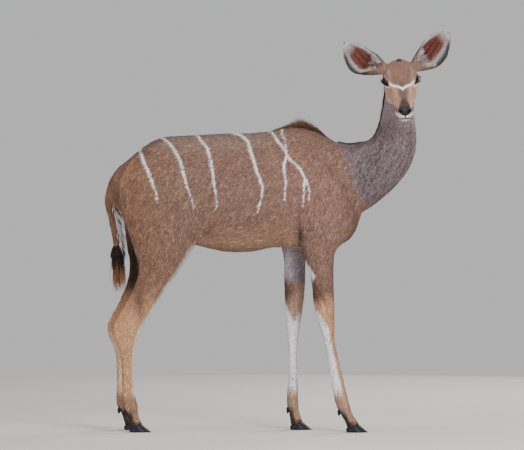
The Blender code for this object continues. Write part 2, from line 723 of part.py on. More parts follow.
def nape_mane(neck, below):
    """Short upright hair along the nape, swept down the neck as far as the plane below it."""
    draw = random.Random(SEED + 1)
    locks = []
    run = smooth_run(NECK, 8)
    first, last = (share * (len(run) - 3) for share in NAPE_SPAN)
    for i in range(NAPE_LOCKS):
        step = 1 + int(round(first + (last - first) * i / (NAPE_LOCKS - 1)))
        ahead = run[step + 1][:3] - run[step - 1][:3]
        nape = Vector(np.cross(ahead, (0, 1, 0))).normalized()
        hit, spot, normal, _ = neck.ray_cast(Vector(run[step][:3]) + nape * 0.3, -nape)
        if not hit or abs(normal.y) > 0.9:
            continue
        lie = (normal * 0.40 - Vector(ahead).normalized()).normalized()
        root = spot - normal * 0.004
        room = (root - below[0]).dot(below[1]) / max(-lie.dot(below[1]), 0.1) - 0.002
        length = min(NAPE_LENGTH * draw.uniform(0.9, 1.1), room)
        if length > NAPE_LENGTH / 3:
            locks.append(lock(root, lie, (0, 1, 0), length, NAPE_LOCK_WIDTH, CREST_LOCK_THICKNESS, 0.0))
    return boolean(neck, locks, "UNION", "MANIFOLD")


def tail_core():
    """The tail itself, with its short hair."""
    run = smooth_run(TAIL, 2)
    turn = np.linspace(0, 2 * math.pi, 8, endpoint=False)
    rings = []
    for i, (x, z, deep, wide) in enumerate(run):
        ahead = run[min(i + 1, len(run) - 1)][:2] - run[max(i - 1, 0)][:2]
        ahead /= np.linalg.norm(ahead)
        reach = deep * np.cos(turn)
        rings.append(np.stack([x - reach * ahead[1], wide * np.sin(turn), z + reach * ahead[0]], 1))
    return loft("tail", rings), run


def tail(torso):
    """The tail, fringed with long hair on its sides and inner face, its end a brush."""
    draw = random.Random(SEED + 2)
    piece, run = tail_core()
    locks = []
    for i in range(TAIL_FRINGE_LOCKS):
        share = i / (TAIL_FRINGE_LOCKS - 1)
        step = 3 + int(round(share * (len(run) - 7)))
        side = (-1, 1, 0)[i % 3]
        x, z, deep, wide = run[step]
        ahead = Vector((run[step + 1][0] - x, 0, run[step + 1][1] - z)).normalized()
        out = Vector((0.75, side * 0.9, 0)).normalized()
        lie = ahead + out * draw.uniform(0.18, 0.26)
        root = Vector((x + out.x * deep * 0.55, out.y * wide * 0.55, z))
        length = TAIL_FRINGE_LENGTH * draw.uniform(0.9, 1.1)
        bend = draw.uniform(-0.12, -0.02)
        locks.append(lock(root, lie, out, length, TAIL_LOCK_WIDTH, TAIL_LOCK_THICKNESS, bend))
    for i in range(TAIL_TUFT_LOCKS):
        angle = 2 * math.pi * i * 0.382
        step = len(run) - 2 - i % 4
        x, z, deep, wide = run[step]
        out = Vector((math.cos(angle), math.sin(angle), 0))
        root = Vector((x + out.x * deep * 0.4, out.y * wide * 0.4, z))
        lie = Vector((0, 0, -1)) + out * draw.uniform(0.16, 0.30)
        length = (z - TAIL_TIP) * draw.uniform(0.80, 1.0)
        bend = draw.uniform(-0.22, -0.10)
        locks.append(lock(root, lie, out, length, TAIL_LOCK_WIDTH, TAIL_LOCK_THICKNESS, bend))
    boolean(piece, locks, "UNION", "MANIFOLD")
    return boolean(piece, [swollen(torso, GAP)], "DIFFERENCE")


def claw(name, heel, side, outer):
    """One half of a cloven hoof: a pointed sole, a steep wall and a slanted coronet."""
    inner = CLEFT / 2
    rings = []
    for z, shrink, heel_x in CLAW_RINGS:
        toe = CLAW_LENGTH - z * CLAW_SLOPE
        ring = []
        for t in np.linspace(0, 1, 8):
            x = heel_x + (toe - heel_x) * t
            belly = math.sin(math.pi * min(0.16 + 0.62 * t, 1.0)) ** 0.7 * (1 - t**5 * 0.8)
            ring.append((x, inner + (CLAW_WIDTH - shrink) * max(belly, 0.12), z))
        for t in np.linspace(1, 0, 5):
            x = heel_x + (toe - heel_x) * t
            ring.append((x, inner + 0.0006 * (1 - t), z))
        rings.append(np.array(ring))
    piece = loft(name, rings)
    piece.data.transform(Matrix.Diagonal((1, outer, 1, 1)))
    piece.data.transform(Matrix.Translation((heel.x, heel.y, 0)))
    if outer < 0:
        piece.data.flip_normals()
    return piece


def coronet_plane(heel):
    """The slanted plane where the skin of the foot ends and the claws begin, facing down."""
    back = Vector((heel.x, 0, CLAW_HEEL))
    front = Vector((heel.x + CORONET_X, 0, CLAW_FRONT))
    along = (front - back).normalized()
    return back, Vector((along.z, 0, -along.x))


def clear_scene():
    """Starts from an empty scene."""
    for obj in list(bpy.data.objects):
        bpy.data.objects.remove(obj)


def build():
    """Makes every part, cut and finished, and stands them on the floor."""
    clear_scene()
    body, front = split(fused_body(), *NECK_ROOT)
    neck, head = split(front, *HEAD_JOINT)
    neck_base, neck = split(neck, *NECK_MIDDLE)
    down = Vector((0, 0, -1))
    torso, legs = split(body, Vector((0, 0, LEG_TOP)), down)

    nodes = []
    torso = finished(torso, "torso", TORSO_TRIANGLES, NECK_ROOT, (Vector((0, 0, LEG_TOP)), down))
    neck_base = finished(neck_base, "neck_lower", NECK_TRIANGLES, reverse(NECK_ROOT), NECK_MIDDLE)
    neck = finished(neck, "neck_upper", NECK_TRIANGLES, reverse(NECK_MIDDLE), HEAD_JOINT)
    head = finished(head, "head", HEAD_TRIANGLES, reverse(HEAD_JOINT))

    with bpy.context.temp_override(active_object=legs, object=legs, selected_editable_objects=[legs]):
        bpy.ops.mesh.separate(type="LOOSE")
    pieces = [o for o in bpy.data.objects if o.name.startswith(legs.name.split(".")[0])]
    for leg in pieces:
        spots = np.array([v.co for v in leg.data.vertices])
        if len(spots) < 500:
            bpy.data.objects.remove(leg)
            continue
        middle = spots.mean(0)
        fore = middle[0] > 0
        name = ("foreleg_" if fore else "hindleg_") + ("right" if middle[1] < 0 else "left")
        low = spots[spots[:, 2] < 0.03]
        heel = Vector((low[:, 0].min() - 0.001, low[:, 1].mean(), 0))
        level = spots[abs(spots[:, 2] - DEWCLAW_HEIGHT) < 0.006]
        spur_root = Vector((level[:, 0].min() - 0.001, heel.y, DEWCLAW_HEIGHT))
        joint = Vector((0, 0, KNEE if fore else HOCK))
        upper, lower = split(leg, joint, down)
        coronet = coronet_plane(heel)
        nodes.append(finished(upper, name + "_upper", UPPER_LEG_TRIANGLES,
                              (Vector((0, 0, LEG_TOP)), -down), (joint, down)))
        shank = finished(lower, name + "_lower", LOWER_LEG_TRIANGLES, (joint, -down), coronet)
        nodes.append(shank)
        for outer, label in ((-1, "right"), (1, "left")):
            toe = claw(f"{name}_claw_{label}", heel, fore, outer)
            point, normal = coronet
            trimmed(toe, point + normal * GAP / 2, -normal)
            paint(toe, "horn_black", (0.035, 0.034, 0.036), 0.4)
            nodes.append(toe)
            spur_centre = spur_root + Vector((0, outer * DEWCLAW_SPREAD, 0))
            spur = ball(f"{name}_dewclaw_{label}", spur_centre, DEWCLAW, 8, 5)
            boolean(spur, [swollen(shank, GAP)], "DIFFERENCE")
            paint(spur, "horn_black", (0.035, 0.034, 0.036), 0.4)
            nodes.append(spur)

    eyes = [add_eye(head, -1, "eye_right"), add_eye(head, 1, "eye_left")]
    cut_mouth(head)
    cut_nostrils(head)
    ears = [ear(name, *directions, head) for name, directions in EARS.items()]
    nodes += [tail(torso), crest(torso), nape_mane(neck_base, NECK_ROOT), nape_mane(neck, NECK_MIDDLE)]
    nodes += [head, *ears, *eyes]

    for node in nodes:
        if not node.data.materials:
            paint(node, "coat_brown", (0.36, 0.25, 0.18), 0.85)
        node.data.shade_smooth()
        node.data.set_sharp_from_angle(angle=math.radians(50))
    for eye in eyes:
        paint(eye, "eye_dark", (0.02, 0.015, 0.012), 0.1)
    corners = np.vstack([[v.co for v in node.data.vertices] for node in nodes])
    low, high = corners.min(0), corners.max(0)
    stand = bpy.data.objects.new("kudu", None)
    bpy.context.scene.collection.objects.link(stand)
    stand.location = (-(low[0] + high[0]) / 2, -(low[1] + high[1]) / 2, -low[2])
    for node in nodes:
        node.parent = stand


build()
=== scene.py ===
import math

import bmesh
import bpy
import numpy as np
from mathutils import Matrix, Vector
from mathutils.kdtree import KDTree


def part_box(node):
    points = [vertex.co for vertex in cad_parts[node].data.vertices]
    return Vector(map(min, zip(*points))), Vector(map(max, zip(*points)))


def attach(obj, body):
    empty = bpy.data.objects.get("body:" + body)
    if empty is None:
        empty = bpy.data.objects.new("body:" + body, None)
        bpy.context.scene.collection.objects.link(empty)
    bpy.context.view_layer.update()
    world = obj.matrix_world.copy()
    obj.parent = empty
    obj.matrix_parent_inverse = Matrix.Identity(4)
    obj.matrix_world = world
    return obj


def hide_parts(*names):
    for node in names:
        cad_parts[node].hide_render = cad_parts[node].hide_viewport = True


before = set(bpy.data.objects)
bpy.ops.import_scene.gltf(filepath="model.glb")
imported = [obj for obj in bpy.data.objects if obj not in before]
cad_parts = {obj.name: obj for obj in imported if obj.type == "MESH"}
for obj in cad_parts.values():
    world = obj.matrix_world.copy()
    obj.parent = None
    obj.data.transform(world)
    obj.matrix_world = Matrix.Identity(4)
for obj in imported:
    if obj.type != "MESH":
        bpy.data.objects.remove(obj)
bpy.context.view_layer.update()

# The hide of a greater kudu cow, in one piece over her flesh from the lips to the coronets and out
# to the tips of the ears. It is skin drawn over muscle: fused from the frame's parts of flesh, eased
# till no facet shows, and sunk by the depth of the coat that lies on it.
HIDE_GRAIN = 0.0084
GAP_CLOSED = 0.0005
FLESH = [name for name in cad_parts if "claw" not in name
         and name.split("_")[0] in ("head", "neck", "torso", "foreleg", "hindleg")]
HEAD_PITCH = math.radians(31)
HEAD_ROLL = math.radians(3.5)
HEAD_TURN = math.radians(2)
EYE_IN_HEAD = np.array((0.128, 0.0515, 0.014))
HEAD_IN_BODY = np.array((0.641, -0.050, 1.434))


def head_axes():
    """Columns: towards the nose, to her left, and up, in the world."""
    forward = Vector((0, -math.cos(HEAD_PITCH), -math.sin(HEAD_PITCH)))
    up = Vector((0, -math.sin(HEAD_PITCH), math.cos(HEAD_PITCH)))
    level = Matrix((forward, up.cross(forward), up)).transposed()
    return np.array(Matrix.Rotation(-HEAD_ROLL, 3, "Y") @ Matrix.Rotation(HEAD_TURN, 3, "Z") @ level)


def middle_of(node):
    """The middle of a frame node's box."""
    low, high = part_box(node)
    return np.array((low + high) / 2)


HEAD_AXES = head_axes()
HEAD_BASE = (middle_of("eye_left") + middle_of("eye_right")) / 2 - HEAD_AXES @ (EYE_IN_HEAD * (1, 0, 1))
PLACE = HEAD_BASE - HEAD_IN_BODY


def unit(vectors):
    """The same ways, at length 1."""
    return vectors / np.maximum(np.linalg.norm(vectors, axis=-1, keepdims=True), 1e-9)


def linked(name, mesh):
    """A new object at the origin that shows a mesh."""
    obj = bpy.data.objects.new(name, mesh)
    bpy.context.scene.collection.objects.link(obj)
    return obj


def settled(obj):
    """Fixes what the modifiers make into the mesh, and takes them off."""
    bpy.context.view_layer.update()
    graph = bpy.context.evaluated_depsgraph_get()
    mesh = bpy.data.meshes.new_from_object(obj.evaluated_get(graph))
    obj.modifiers.clear()
    obj.data = mesh
    return obj


def joined(objects):
    """One object that holds the meshes of all."""
    with bpy.context.temp_override(active_object=objects[0], object=objects[0],
                                   selected_editable_objects=objects, selected_objects=objects):
        bpy.ops.object.join()
    return objects[0]


def smooth_run(rows, steps):
    """A smooth run through the stations, with so many steps from each to the next."""
    p = np.array(rows, float)
    p = np.vstack([2 * p[0] - p[1], p, 2 * p[-1] - p[-2]])
    t = np.linspace(0, 1, steps, endpoint=False)[:, None]
    runs = [0.5 * (2 * b + (c - a) * t + (2 * a - 5 * b + 4 * c - d) * t**2 + (3 * b - a - 3 * c + d) * t**3)
            for a, b, c, d in zip(p, p[1:], p[2:], p[3:])]
    return np.vstack([*runs, p[-2][None]])


def loft(name, rings):
    """A closed solid through rings of equally many points, each end drawn to its middle."""
    count = len(rings[0])
    points = np.vstack([*rings, rings[0].mean(0)[None], rings[-1].mean(0)[None]])
    here = np.arange(count)
    there = (here + 1) % count
    faces = []
    for row in range(len(rings) - 1):
        low, high = row * count, (row + 1) * count
        faces += np.stack([low + here, low + there, high + there, high + here], 1).tolist()
    last = (len(rings) - 1) * count
    faces += np.stack([there, here, np.full(count, len(points) - 2)], 1).tolist()
    faces += np.stack([last + here, last + there, np.full(count, len(points) - 1)], 1).tolist()
    shape = bmesh.new()
    mesh = bpy.data.meshes.new(name)
    mesh.from_pydata(points.tolist(), [], faces)
    shape.from_mesh(mesh)
    bmesh.ops.recalc_face_normals(shape, faces=shape.faces)
    shape.to_mesh(mesh)
    shape.free()
    return linked(name, mesh)


def read_out(rows, key, width, kind=np.float32):
    """A mesh's own rows as an array with so many columns."""
    flat = np.empty(len(rows) * width, kind)
    rows.foreach_get(key, flat)
    return flat.reshape(-1, width)


def spots_of(mesh):
    """Where a mesh's points are."""
    return read_out(mesh.vertices, "co", 3).astype(float)


def put_spots(mesh, spots):
    """Moves a mesh's points."""
    mesh.vertices.foreach_set("co", spots.astype(np.float32).ravel())
    mesh.update()


CREST_ROOTS = (0.11, 0.40)
CREST_SIDE = 0.022
BACK_SIDES = (0.024, 0.042)
TAIL_LINE = ((-0.430, 1.010), (-0.460, 0.996), (-0.482, 0.962), (-0.493, 0.910), (-0.483, 0.851),
             (-0.472, 0.792), (-0.464, 0.733), (-0.461, 0.675))
TAIL_GIRTH = (0.016, 0.017, 0.017, 0.016, 0.015, 0.014, 0.011, 0.008)


def bare_back(spots):
    """Sinks the frame's crest locks into the back, whose crown is drawn across from both sides."""
    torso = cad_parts["torso"]
    stations = np.linspace(*CREST_ROOTS, 30)
    levels = []
    for x in stations:
        row = [torso.ray_cast(Vector((x + PLACE[0], side * out + PLACE[1], 2)), Vector((0, 0, -1)))[1].z
               for out in BACK_SIDES for side in (-1, 1)]
        levels.append((np.mean(row[:2]), np.mean(row[2:])))
    near, far = np.array(levels).T
    fall = (near - far) / (BACK_SIDES[1]**2 - BACK_SIDES[0]**2)
    x, y = spots[:, 0] - PLACE[0], spots[:, 1] - PLACE[1]
    crown = np.interp(x, stations, near + fall * BACK_SIDES[0]**2) - np.interp(x, stations, fall) * y**2
    proud = (abs(y) < CREST_SIDE) & (x > CREST_ROOTS[0]) & (x < CREST_ROOTS[1])
    proud &= spots[:, 2] > crown + 0.0005
    spots[proud, 2] = crown[proud] - 0.003
    return spots


def tail_run(steps):
    """Stations down the tail: along, up and girth."""
    return smooth_run([(*spot, girth) for spot, girth in zip(TAIL_LINE, TAIL_GIRTH)], steps)


def tail_core():
    """The tail's own flesh, a tapering round rod that hangs from the rump."""
    run = tail_run(3)
    turn = np.linspace(0, 2 * math.pi, 16, endpoint=False)
    rings = []
    for i, (x, z, girth) in enumerate(run):
        ahead = unit(run[min(i + 1, len(run) - 1)][:2] - run[max(i - 1, 0)][:2])
        reach = girth * np.cos(turn)
        ring = np.stack([x - reach * ahead[1], girth * 1.15 * np.sin(turn), z + reach * ahead[0]], 1)
        rings.append(ring + PLACE)
    return loft("tail_core", rings)


pieces = []
for name in FLESH:
    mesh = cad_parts[name].data.copy()
    shape = bmesh.new()
    shape.from_mesh(mesh)
    bmesh.ops.remove_doubles(shape, verts=shape.verts, dist=1e-5)
    shape.to_mesh(mesh)
    shape.free()
    if name == "torso":
        put_spots(mesh, bare_back(spots_of(mesh)))
    piece = linked("flesh", mesh)
    swell = piece.modifiers.new("swell", "DISPLACE")
    swell.strength = GAP_CLOSED
    swell.mid_level = 0
    pieces.append(settled(piece))
hide = joined([*pieces, tail_core()])
hide.name = "hide"
fuse = hide.modifiers.new("fuse", "REMESH")
fuse.mode = "VOXEL"
fuse.voxel_size = HIDE_GRAIN
settled(hide)

# The nape: skin over the ridge of the neck, from the withers to the poll. The frame's short locks
# stand along its line, and they are eased away there, because the mane is hair of its own. The hide
# is then sunk all over by the depth of the coat.
HIDE_EASING = 16
COAT_DEPTH = 0.0022
NAPE_LINE = ((0.420, 1.140), (0.452, 1.135), (0.483, 1.135), (0.511, 1.142), (0.531, 1.151), (0.550, 1.173),
             (0.570, 1.216), (0.578, 1.256), (0.582, 1.303), (0.585, 1.350))


def soft(value, low, high):
    """0 below low and 1 above high, with a smooth step between."""
    share = np.clip((value - low) / (high - low), 0, 1)
    return share * share * (3 - 2 * share)


def normals_of(mesh):
    """Which way a mesh faces at its points."""
    return read_out(mesh.vertex_normals, "vector", 3).astype(float)


def eased(mesh, rounds, where=1.0, kept=0.0):
    """Slides points towards the middle of their neighbours, where it is asked for. Kept gives a
    second, opposite slide after each, so that a form loses its facets and keeps its girth."""
    spots, (a, b) = spots_of(mesh), read_out(mesh.edges, "vertices", 2, np.int32).T
    count = np.maximum(np.bincount(a, minlength=len(spots)) + np.bincount(b, minlength=len(spots)), 1)
    where = np.broadcast_to(where, len(spots))[:, None]
    for _ in range(rounds):
        for share in (0.5, -kept) if kept else (0.5,):
            total = np.stack([np.bincount(a, column[b], len(spots)) + np.bincount(b, column[a], len(spots))
                              for column in spots.T], 1)
            spots = spots + (total / count[:, None] - spots) * share * where
    put_spots(mesh, spots)


def path_distance(spots, path):
    """How far points are from a path of straight runs."""
    path = np.asarray(path, float)
    best = np.full(len(spots), 9.0)
    for a, b in zip(path, path[1:]):
        share = np.clip((spots - a) @ (b - a) / ((b - a) @ (b - a)), 0, 1)[:, None]
        best = np.minimum(best, np.linalg.norm(spots - a - share * (b - a), axis=1))
    return best


eased(hide.data, HIDE_EASING, kept=0.53)
body = spots_of(hide.data) - PLACE
trunk = soft(body[:, 2], 0.84, 0.98) * (1 - soft(body[:, 0], 0.34, 0.42)) * soft(body[:, 0], -0.475, -0.445)
eased(hide.data, 50, trunk, kept=0.515)
eased(hide.data, 14, 1 - soft(path_distance(body[:, ::2], NAPE_LINE), 0.014, 0.030))
put_spots(hide.data, spots_of(hide.data) - normals_of(hide.data) * COAT_DEPTH)

# The face: thin skin close over the skull, with lids round the eyes, soft nostrils, lips and cheeks.
# It is the same hide, cut into finer faces than the rest, and pushed in and out along its own
# facing where bones and folds lie.
EYE_BALL = 0.020
EYE_GAZE = np.array((0.67, 0.71, 0.20))
EYE_LONG = np.array((0.93, 0.0, -0.36))
LID_OPENING = (0.0166, 0.0106)
LID_LIFT = 0.0019
NOSTRIL = np.array((0.3205, 0.0168, -0.0125))
NOSTRIL_RADII = np.array((0.015, 0.0064, 0.0082))
NOSTRIL_TURN = math.radians(38)
MOUTH = ((0.228, 0.036, -0.0455), (0.262, 0.0355, -0.050), (0.292, 0.0335, -0.048), (0.312, 0.025, -0.043),
         (0.324, 0.012, -0.0405), (0.330, 0.0, -0.040))


def in_head(spots):
    """World points as distances towards the nose, to her left and up, from the back of the skull."""
    return (spots - HEAD_BASE) @ HEAD_AXES


def from_head(spots):
    """The world points of places in the head."""
    return np.asarray(spots) @ HEAD_AXES.T + HEAD_BASE


def bell(value, width):
    """1 at 0, falling off to both sides."""
    return np.exp(-((value / width) ** 2))


def eye_axes(side):
    """Gaze, the long way of the opening and the high way, in the head."""
    gaze = unit(EYE_GAZE * (1, side, 1))
    long_way = unit(EYE_LONG - gaze * (gaze @ EYE_LONG))
    return gaze, long_way, np.cross(gaze, long_way) * side


def in_eye(head, side):
    """Head points as seen by one eye: along the opening, up, out, and 1 on the lids' edge."""
    gaze, long_way, high_way = eye_axes(side)
    from_eye = head - EYE_IN_HEAD * (1, side, 1)
    along, up, out = from_eye @ long_way, from_eye @ high_way, from_eye @ gaze
    edge = (abs(along / LID_OPENING[0]) ** 1.5 + abs(up / LID_OPENING[1]) ** 1.7) ** (1 / 1.6)
    return along, up, out, edge


def refined(mesh, inside):
    """Cuts each edge in two where both its ends are inside."""
    shape = bmesh.new()
    shape.from_mesh(mesh)
    edges = [edge for edge in shape.edges if inside[edge.verts[0].index] and inside[edge.verts[1].index]]
    bmesh.ops.subdivide_edges(shape, edges=edges, cuts=1, use_grid_fill=True)
    shape.to_mesh(mesh)
    shape.free()


def eye_distance(head):
    """How far places in the head are from the nearer eye."""
    return np.min([np.linalg.norm(head - EYE_IN_HEAD * (1, side, 1), axis=1) for side in (-1, 1)], axis=0)


def mouth_distance(head):
    """How far places in the head are from the line between the lips."""
    return np.minimum(*[path_distance(head, np.array(MOUTH) * (1, side, 1)) for side in (-1, 1)])


def face_share(head):
    """1 where the head's finest work is, fading out round it."""
    return np.maximum(1 - soft(eye_distance(head), 0.026, 0.034), soft(head[:, 0], 0.262, 0.272))


for level in range(3):
    spots = spots_of(hide.data)
    head = in_head(spots)
    near_head = (head[:, 0] > -0.03) & (spots[:, 2] - PLACE[2] > 1.17) & (spots[:, 1] - PLACE[1] < 0.06)
    near_eyes = eye_distance(head) < (0.030 if level > 1 else 0.036)
    near_nose = ((head[:, 0] > 0.225) & (level < 2)) | (head[:, 0] > 0.300)
    refined(hide.data, near_head & ((level < 1) | near_eyes | near_nose))
    where = np.where(face_share(in_head(spots_of(hide.data))) > 0.1, 1.0, 0.0) if level else 1.0
    eased(hide.data, 3, where, kept=0.53)


def carve_eye(head, side):
    """Lays the lids over one eye, with a fold above them, and sinks the skin behind the ball."""
    gaze = eye_axes(side)[0]
    along, up, out, edge = in_eye(head, side)
    across = np.hypot(along, up)
    behind = np.sqrt(np.maximum((EYE_BALL * 0.72) ** 2 - across**2, 0))
    brim = min(LID_OPENING[0], 0.0162)
    shell = EYE_BALL + LID_LIFT
    lid = np.sqrt(shell**2 - np.minimum(across, brim) ** 2)
    lid -= np.maximum(across - brim, 0) * brim / math.sqrt(shell**2 - brim**2)
    lid += 0.0010 * bell(edge - 1.10, 0.14) * (up > 0)
    lid = lid - 0.0016 * bell(edge - 1.62, 0.14) * soft(up, 0, 0.008)
    inner = soft(edge, 0.90, 1.04)
    outer = soft(edge, 1.10, 2.4)
    target = (behind * (1 - inner) + lid * inner) * (1 - outer) + out * outer
    share = (out > 0) * (1 - soft(across, 0.036, 0.044))
    head += ((target - out) * share)[:, None] * gaze
    duct = bell(along - 0.024, 0.0055) * bell(up + 0.0015 + (along - 0.018) * 0.25, 0.0022) * (out > 0)
    head -= (duct * 0.0022)[:, None] * gaze


def nostril_reach(head, side):
    """1 on the rim of one nostril, less inside it."""
    pit = head - NOSTRIL * (1, side, 1)
    turn = NOSTRIL_TURN * side
    along = pit[:, 0] * math.cos(turn) + pit[:, 1] * math.sin(turn)
    across = -pit[:, 0] * math.sin(turn) + pit[:, 1] * math.cos(turn)
    return np.linalg.norm(np.stack([along, across, pit[:, 2]], 1) / NOSTRIL_RADII, axis=1)


def carve_head(spots, normals):
    """Gives the face its bones, lids, nostrils, lips and chin."""
    head = in_head(spots)
    grain = normals @ HEAD_AXES
    u, v, w = head.T
    side_of = abs(v)
    raise_by = np.zeros(len(head))
    raise_by += 0.0022 * bell(u - 0.118, 0.022) * bell(side_of - 0.044, 0.011) * soft(w, 0.022, 0.036)
    raise_by -= 0.0030 * bell(u - 0.170, 0.018) * bell(w - 0.002, 0.014) * soft(side_of, 0.020, 0.034)
    cheek_bone = bell(w + 0.012 - (0.13 - u) * 0.10, 0.008) * bell(u - 0.088, 0.030)
    raise_by += 0.0020 * cheek_bone * soft(side_of, 0.04, 0.05)
    raise_by -= 0.0026 * bell(u - 0.070, 0.022) * bell(w - 0.022, 0.014) * soft(side_of, 0.040, 0.052)
    raise_by -= 0.0014 * bell(v, 0.010) * bell(u - 0.150, 0.060) * (w > 0)
    raise_by += 0.0016 * bell(u - 0.300, 0.016) * bell(side_of - 0.020, 0.012) * bell(w + 0.034, 0.012)
    cleft = bell(v, 0.0016) * soft(u, 0.318, 0.324) * soft(-w, 0.012, 0.02) * soft(w, -0.043, -0.038)
    raise_by -= 0.0016 * cleft
    mouth = mouth_distance(head)
    raise_by -= 0.0034 * bell(mouth, 0.0022) - 0.0010 * bell(mouth - 0.0055, 0.003)
    head += grain * raise_by[:, None]
    for side in (-1, 1):
        reach = nostril_reach(head, side)
        inward = np.array((-0.86, -0.42 * side, -0.1))
        head += ((1 - soft(reach, 0.62, 1.1)) * 0.0105)[:, None] * inward
        head += grain * (0.0012 * bell(reach - 1.35, 0.25))[:, None]
        carve_eye(head, side)
    return from_head(head)


spots = spots_of(hide.data)
near_head = in_head(spots)[:, 0] > 0.02
worked = carve_head(spots, normals_of(hide.data))
spots[near_head] = worked[near_head]
put_spots(hide.data, spots)

# The ears: broad cups of thin hide over gristle, rolled into a tube at the root and open above. Each
# is a shell drawn through sections along its length, and fused to the head at its root.
EAR_ROOT = np.array((0.040, 0.054, 0.014))
EAR_LENGTH = 0.210
EAR_WIDTH = 0.110
EAR_WALL = 0.0032
EAR_BOW = 0.015
# For her right ear, then the left: side, where it points, what it faces, and its lower edge's side
EARS = ((-1, (-0.72, 0.38, 0.46), (-0.12, -0.94, 0.30), (-0.4, 0, -1)),
        (1, (0.665, 0.30, 0.64), (0.20, -0.96, 0.10), (0.9, 0, -0.6)))


def ear_axes(axis, opening, lower):
    """Out along the ear, towards what it faces, across it, and how it bows."""
    axis = unit(np.array(axis))
    opening = np.array(opening) - axis * (axis @ opening)
    opening = unit(opening)
    across = np.cross(axis, opening)
    return axis, opening, across, across * EAR_BOW * (1 if across @ np.array(lower) > 0 else -1)


def ear_station(side, axes, s):
    """Middle, radius and half turn of the ear's section at a share of its length."""
    axis, opening, _, bow = axes
    broad = EAR_WIDTH / 2 * (0.40 + 0.62 * math.sin(math.pi * min(s / 1.16, 1.0)) ** 1.15)
    broad *= max(1 - (max(s - 0.60, 0) / 0.40) ** 2.5, 0.002) ** 0.5
    half_turn = math.radians(175 - 112 * min(s / 0.55, 1.0) ** 0.8 - 14 * s)
    radius = broad / (math.sin(half_turn) if half_turn < math.pi / 2 else 1.0)
    middle = from_head(EAR_ROOT * (1, side, 1)) + axis * EAR_LENGTH * s + opening * (radius - broad) * 0.75
    return middle + (bow - opening * 0.013) * math.sin(math.pi * s), radius, half_turn


def ear_shell(side, axis, opening, lower):
    """The ear as a closed shell: a tube at its root that opens into a broad, pointed scoop."""
    axes = ear_axes(axis, opening, lower)
    _, opening, across, _ = axes
    rings = []
    for s in np.linspace(0, 1, 46) ** 0.9:
        middle, radius, half_turn = ear_station(side, axes, s)
        wall = EAR_WALL * (1.15 - 0.5 * s)
        opened = min(max((s - 0.04) / 0.30, 0), 1) ** 0.8
        ring = []
        for t in np.linspace(-1, 1, 24):
            turn = half_turn * t
            ring.append(middle + radius * (math.sin(turn) * across - math.cos(turn) * opening))
        for t in np.linspace(1, -1, 24)[1:-1]:
            lip = half_turn + (math.pi - half_turn) * (1 - t)
            closed = radius * (math.sin(lip) * across - math.cos(lip) * opening)
            turn = half_turn * t * 0.98
            cup = (radius - wall) * (math.sin(turn) * across - math.cos(turn) * opening)
            ring.append(middle + closed * (1 - opened) + cup * opened)
        rings.append(np.array(ring))
    return loft("ear", rings)


tools = bpy.data.collections.new("tools")
shells = [ear_shell(*ear) for ear in EARS]
for shell in shells:
    tools.objects.link(shell)
fuse = hide.modifiers.new("fuse", "BOOLEAN")
fuse.operation = "UNION"
fuse.solver = "MANIFOLD"
fuse.operand_type = "COLLECTION"
fuse.collection = tools
settled(hide)
for shell in shells:
    bpy.data.objects.remove(shell)
bpy.data.collections.remove(tools)
near_root = np.min([np.linalg.norm(spots_of(hide.data) - from_head(EAR_ROOT * (1, side, 1)), axis=1)
                    for side in (-1, 1)], axis=0)
eased(hide.data, 6, 1 - soft(near_root, 0.028, 0.040))
hide.data.shade_smooth()


# The markings, which hide and coat share: brown flanks, a grey neck, tan and white legs, the face's
# pale band and dark nose, and thin white stripes from the spine down the flanks. Each is a place on
# the body, softened as the real hairs blend, and the white lines are kept as a distance. Painted light
# and painted shade are laid in with them, on parts that turn to and from the lamps and in folds.
def linear(code):
    """A colour from its sRGB hex code."""
    share = np.array([int(code[i:i + 2], 16) for i in (1, 3, 5)]) / 255
    return np.where(share <= 0.04045, share / 12.92, ((share + 0.055) / 1.055) ** 2.4)


FLANK_BROWN = "#72574A"
RUMP_BROWN = "#745544"
SHOULDER_BROWN = "#7C5D51"
NECK_GREY = "#6C5D60"
BELLY_BROWN_AND_PAINTED_LIGHT = "#A07C66"
SPINE_BROWN = "#4A362C"
DARK_HAIR_AND_SHADE = "#2C2422"
LEG_WHITE = "#DEDAE2"
LEG_TAN = "#B08463"
LEG_PATCH_AND_SHADE = "#5B4338"
INNER_GREY = "#80767F"
FOREHEAD_RUST = "#836354"
BRIDGE_GREY = "#524041"
CHEEK_TAN = "#B68D74"
PALE_HAIR_AND_HIGHLIGHT = "#DAD6D8"
STRIPE_WHITE = "#ECE8EE"
NOSE_BLACK = "#1D1C20"
NOSE_SLATE = "#17161C"
EAR_RUST = "#501D11"
EAR_DOWN = "#9A8F91"
EAR_BACK = "#7A5D4E"
SHOULDER_SHADE = "#5B5055"
NAPE_PAINTED_LIGHT = "#948180"
THROAT_PAINTED_LIGHT = "#A8958E"
BACK_PAINTED_LIGHT = "#A08A80"
REAR_PAINTED_LIGHT = "#A37B63"
INNER_PALE = "#A9A3AB"
INNER_TAN = "#9F8172"
INNER_FLECK = "#5F5753"
SHIN_RUST = "#B97C4A"
FORE_PASTERN = "#957865"
HIND_PASTERN = "#8A6A55"
HIND_INNER = "#C2A48A"
BROW_SHADE = "#5E483D"
CROWN_RUST = "#6E4B3A"
BROW_PALE = "#C9B5A6"
BRIDGE_DARK = "#33261F"
NOSTRIL_EDGE = "#3A2821"
CHEEK_LIGHT = "#C4A285"
CHEEK_PAINTED_SHADE = "#5A4239"
LIP_BROWN_AND_SHADE = "#2A1C18"
NOSTRIL_PAINTED_SHADE = "#050405"
EAR_WINE = "#47201A"
EAR_PAINTED_HIGHLIGHT = "#84401F"
EAR_VEIN = "#2E1815"
EAR_ORANGE = "#A8502F"
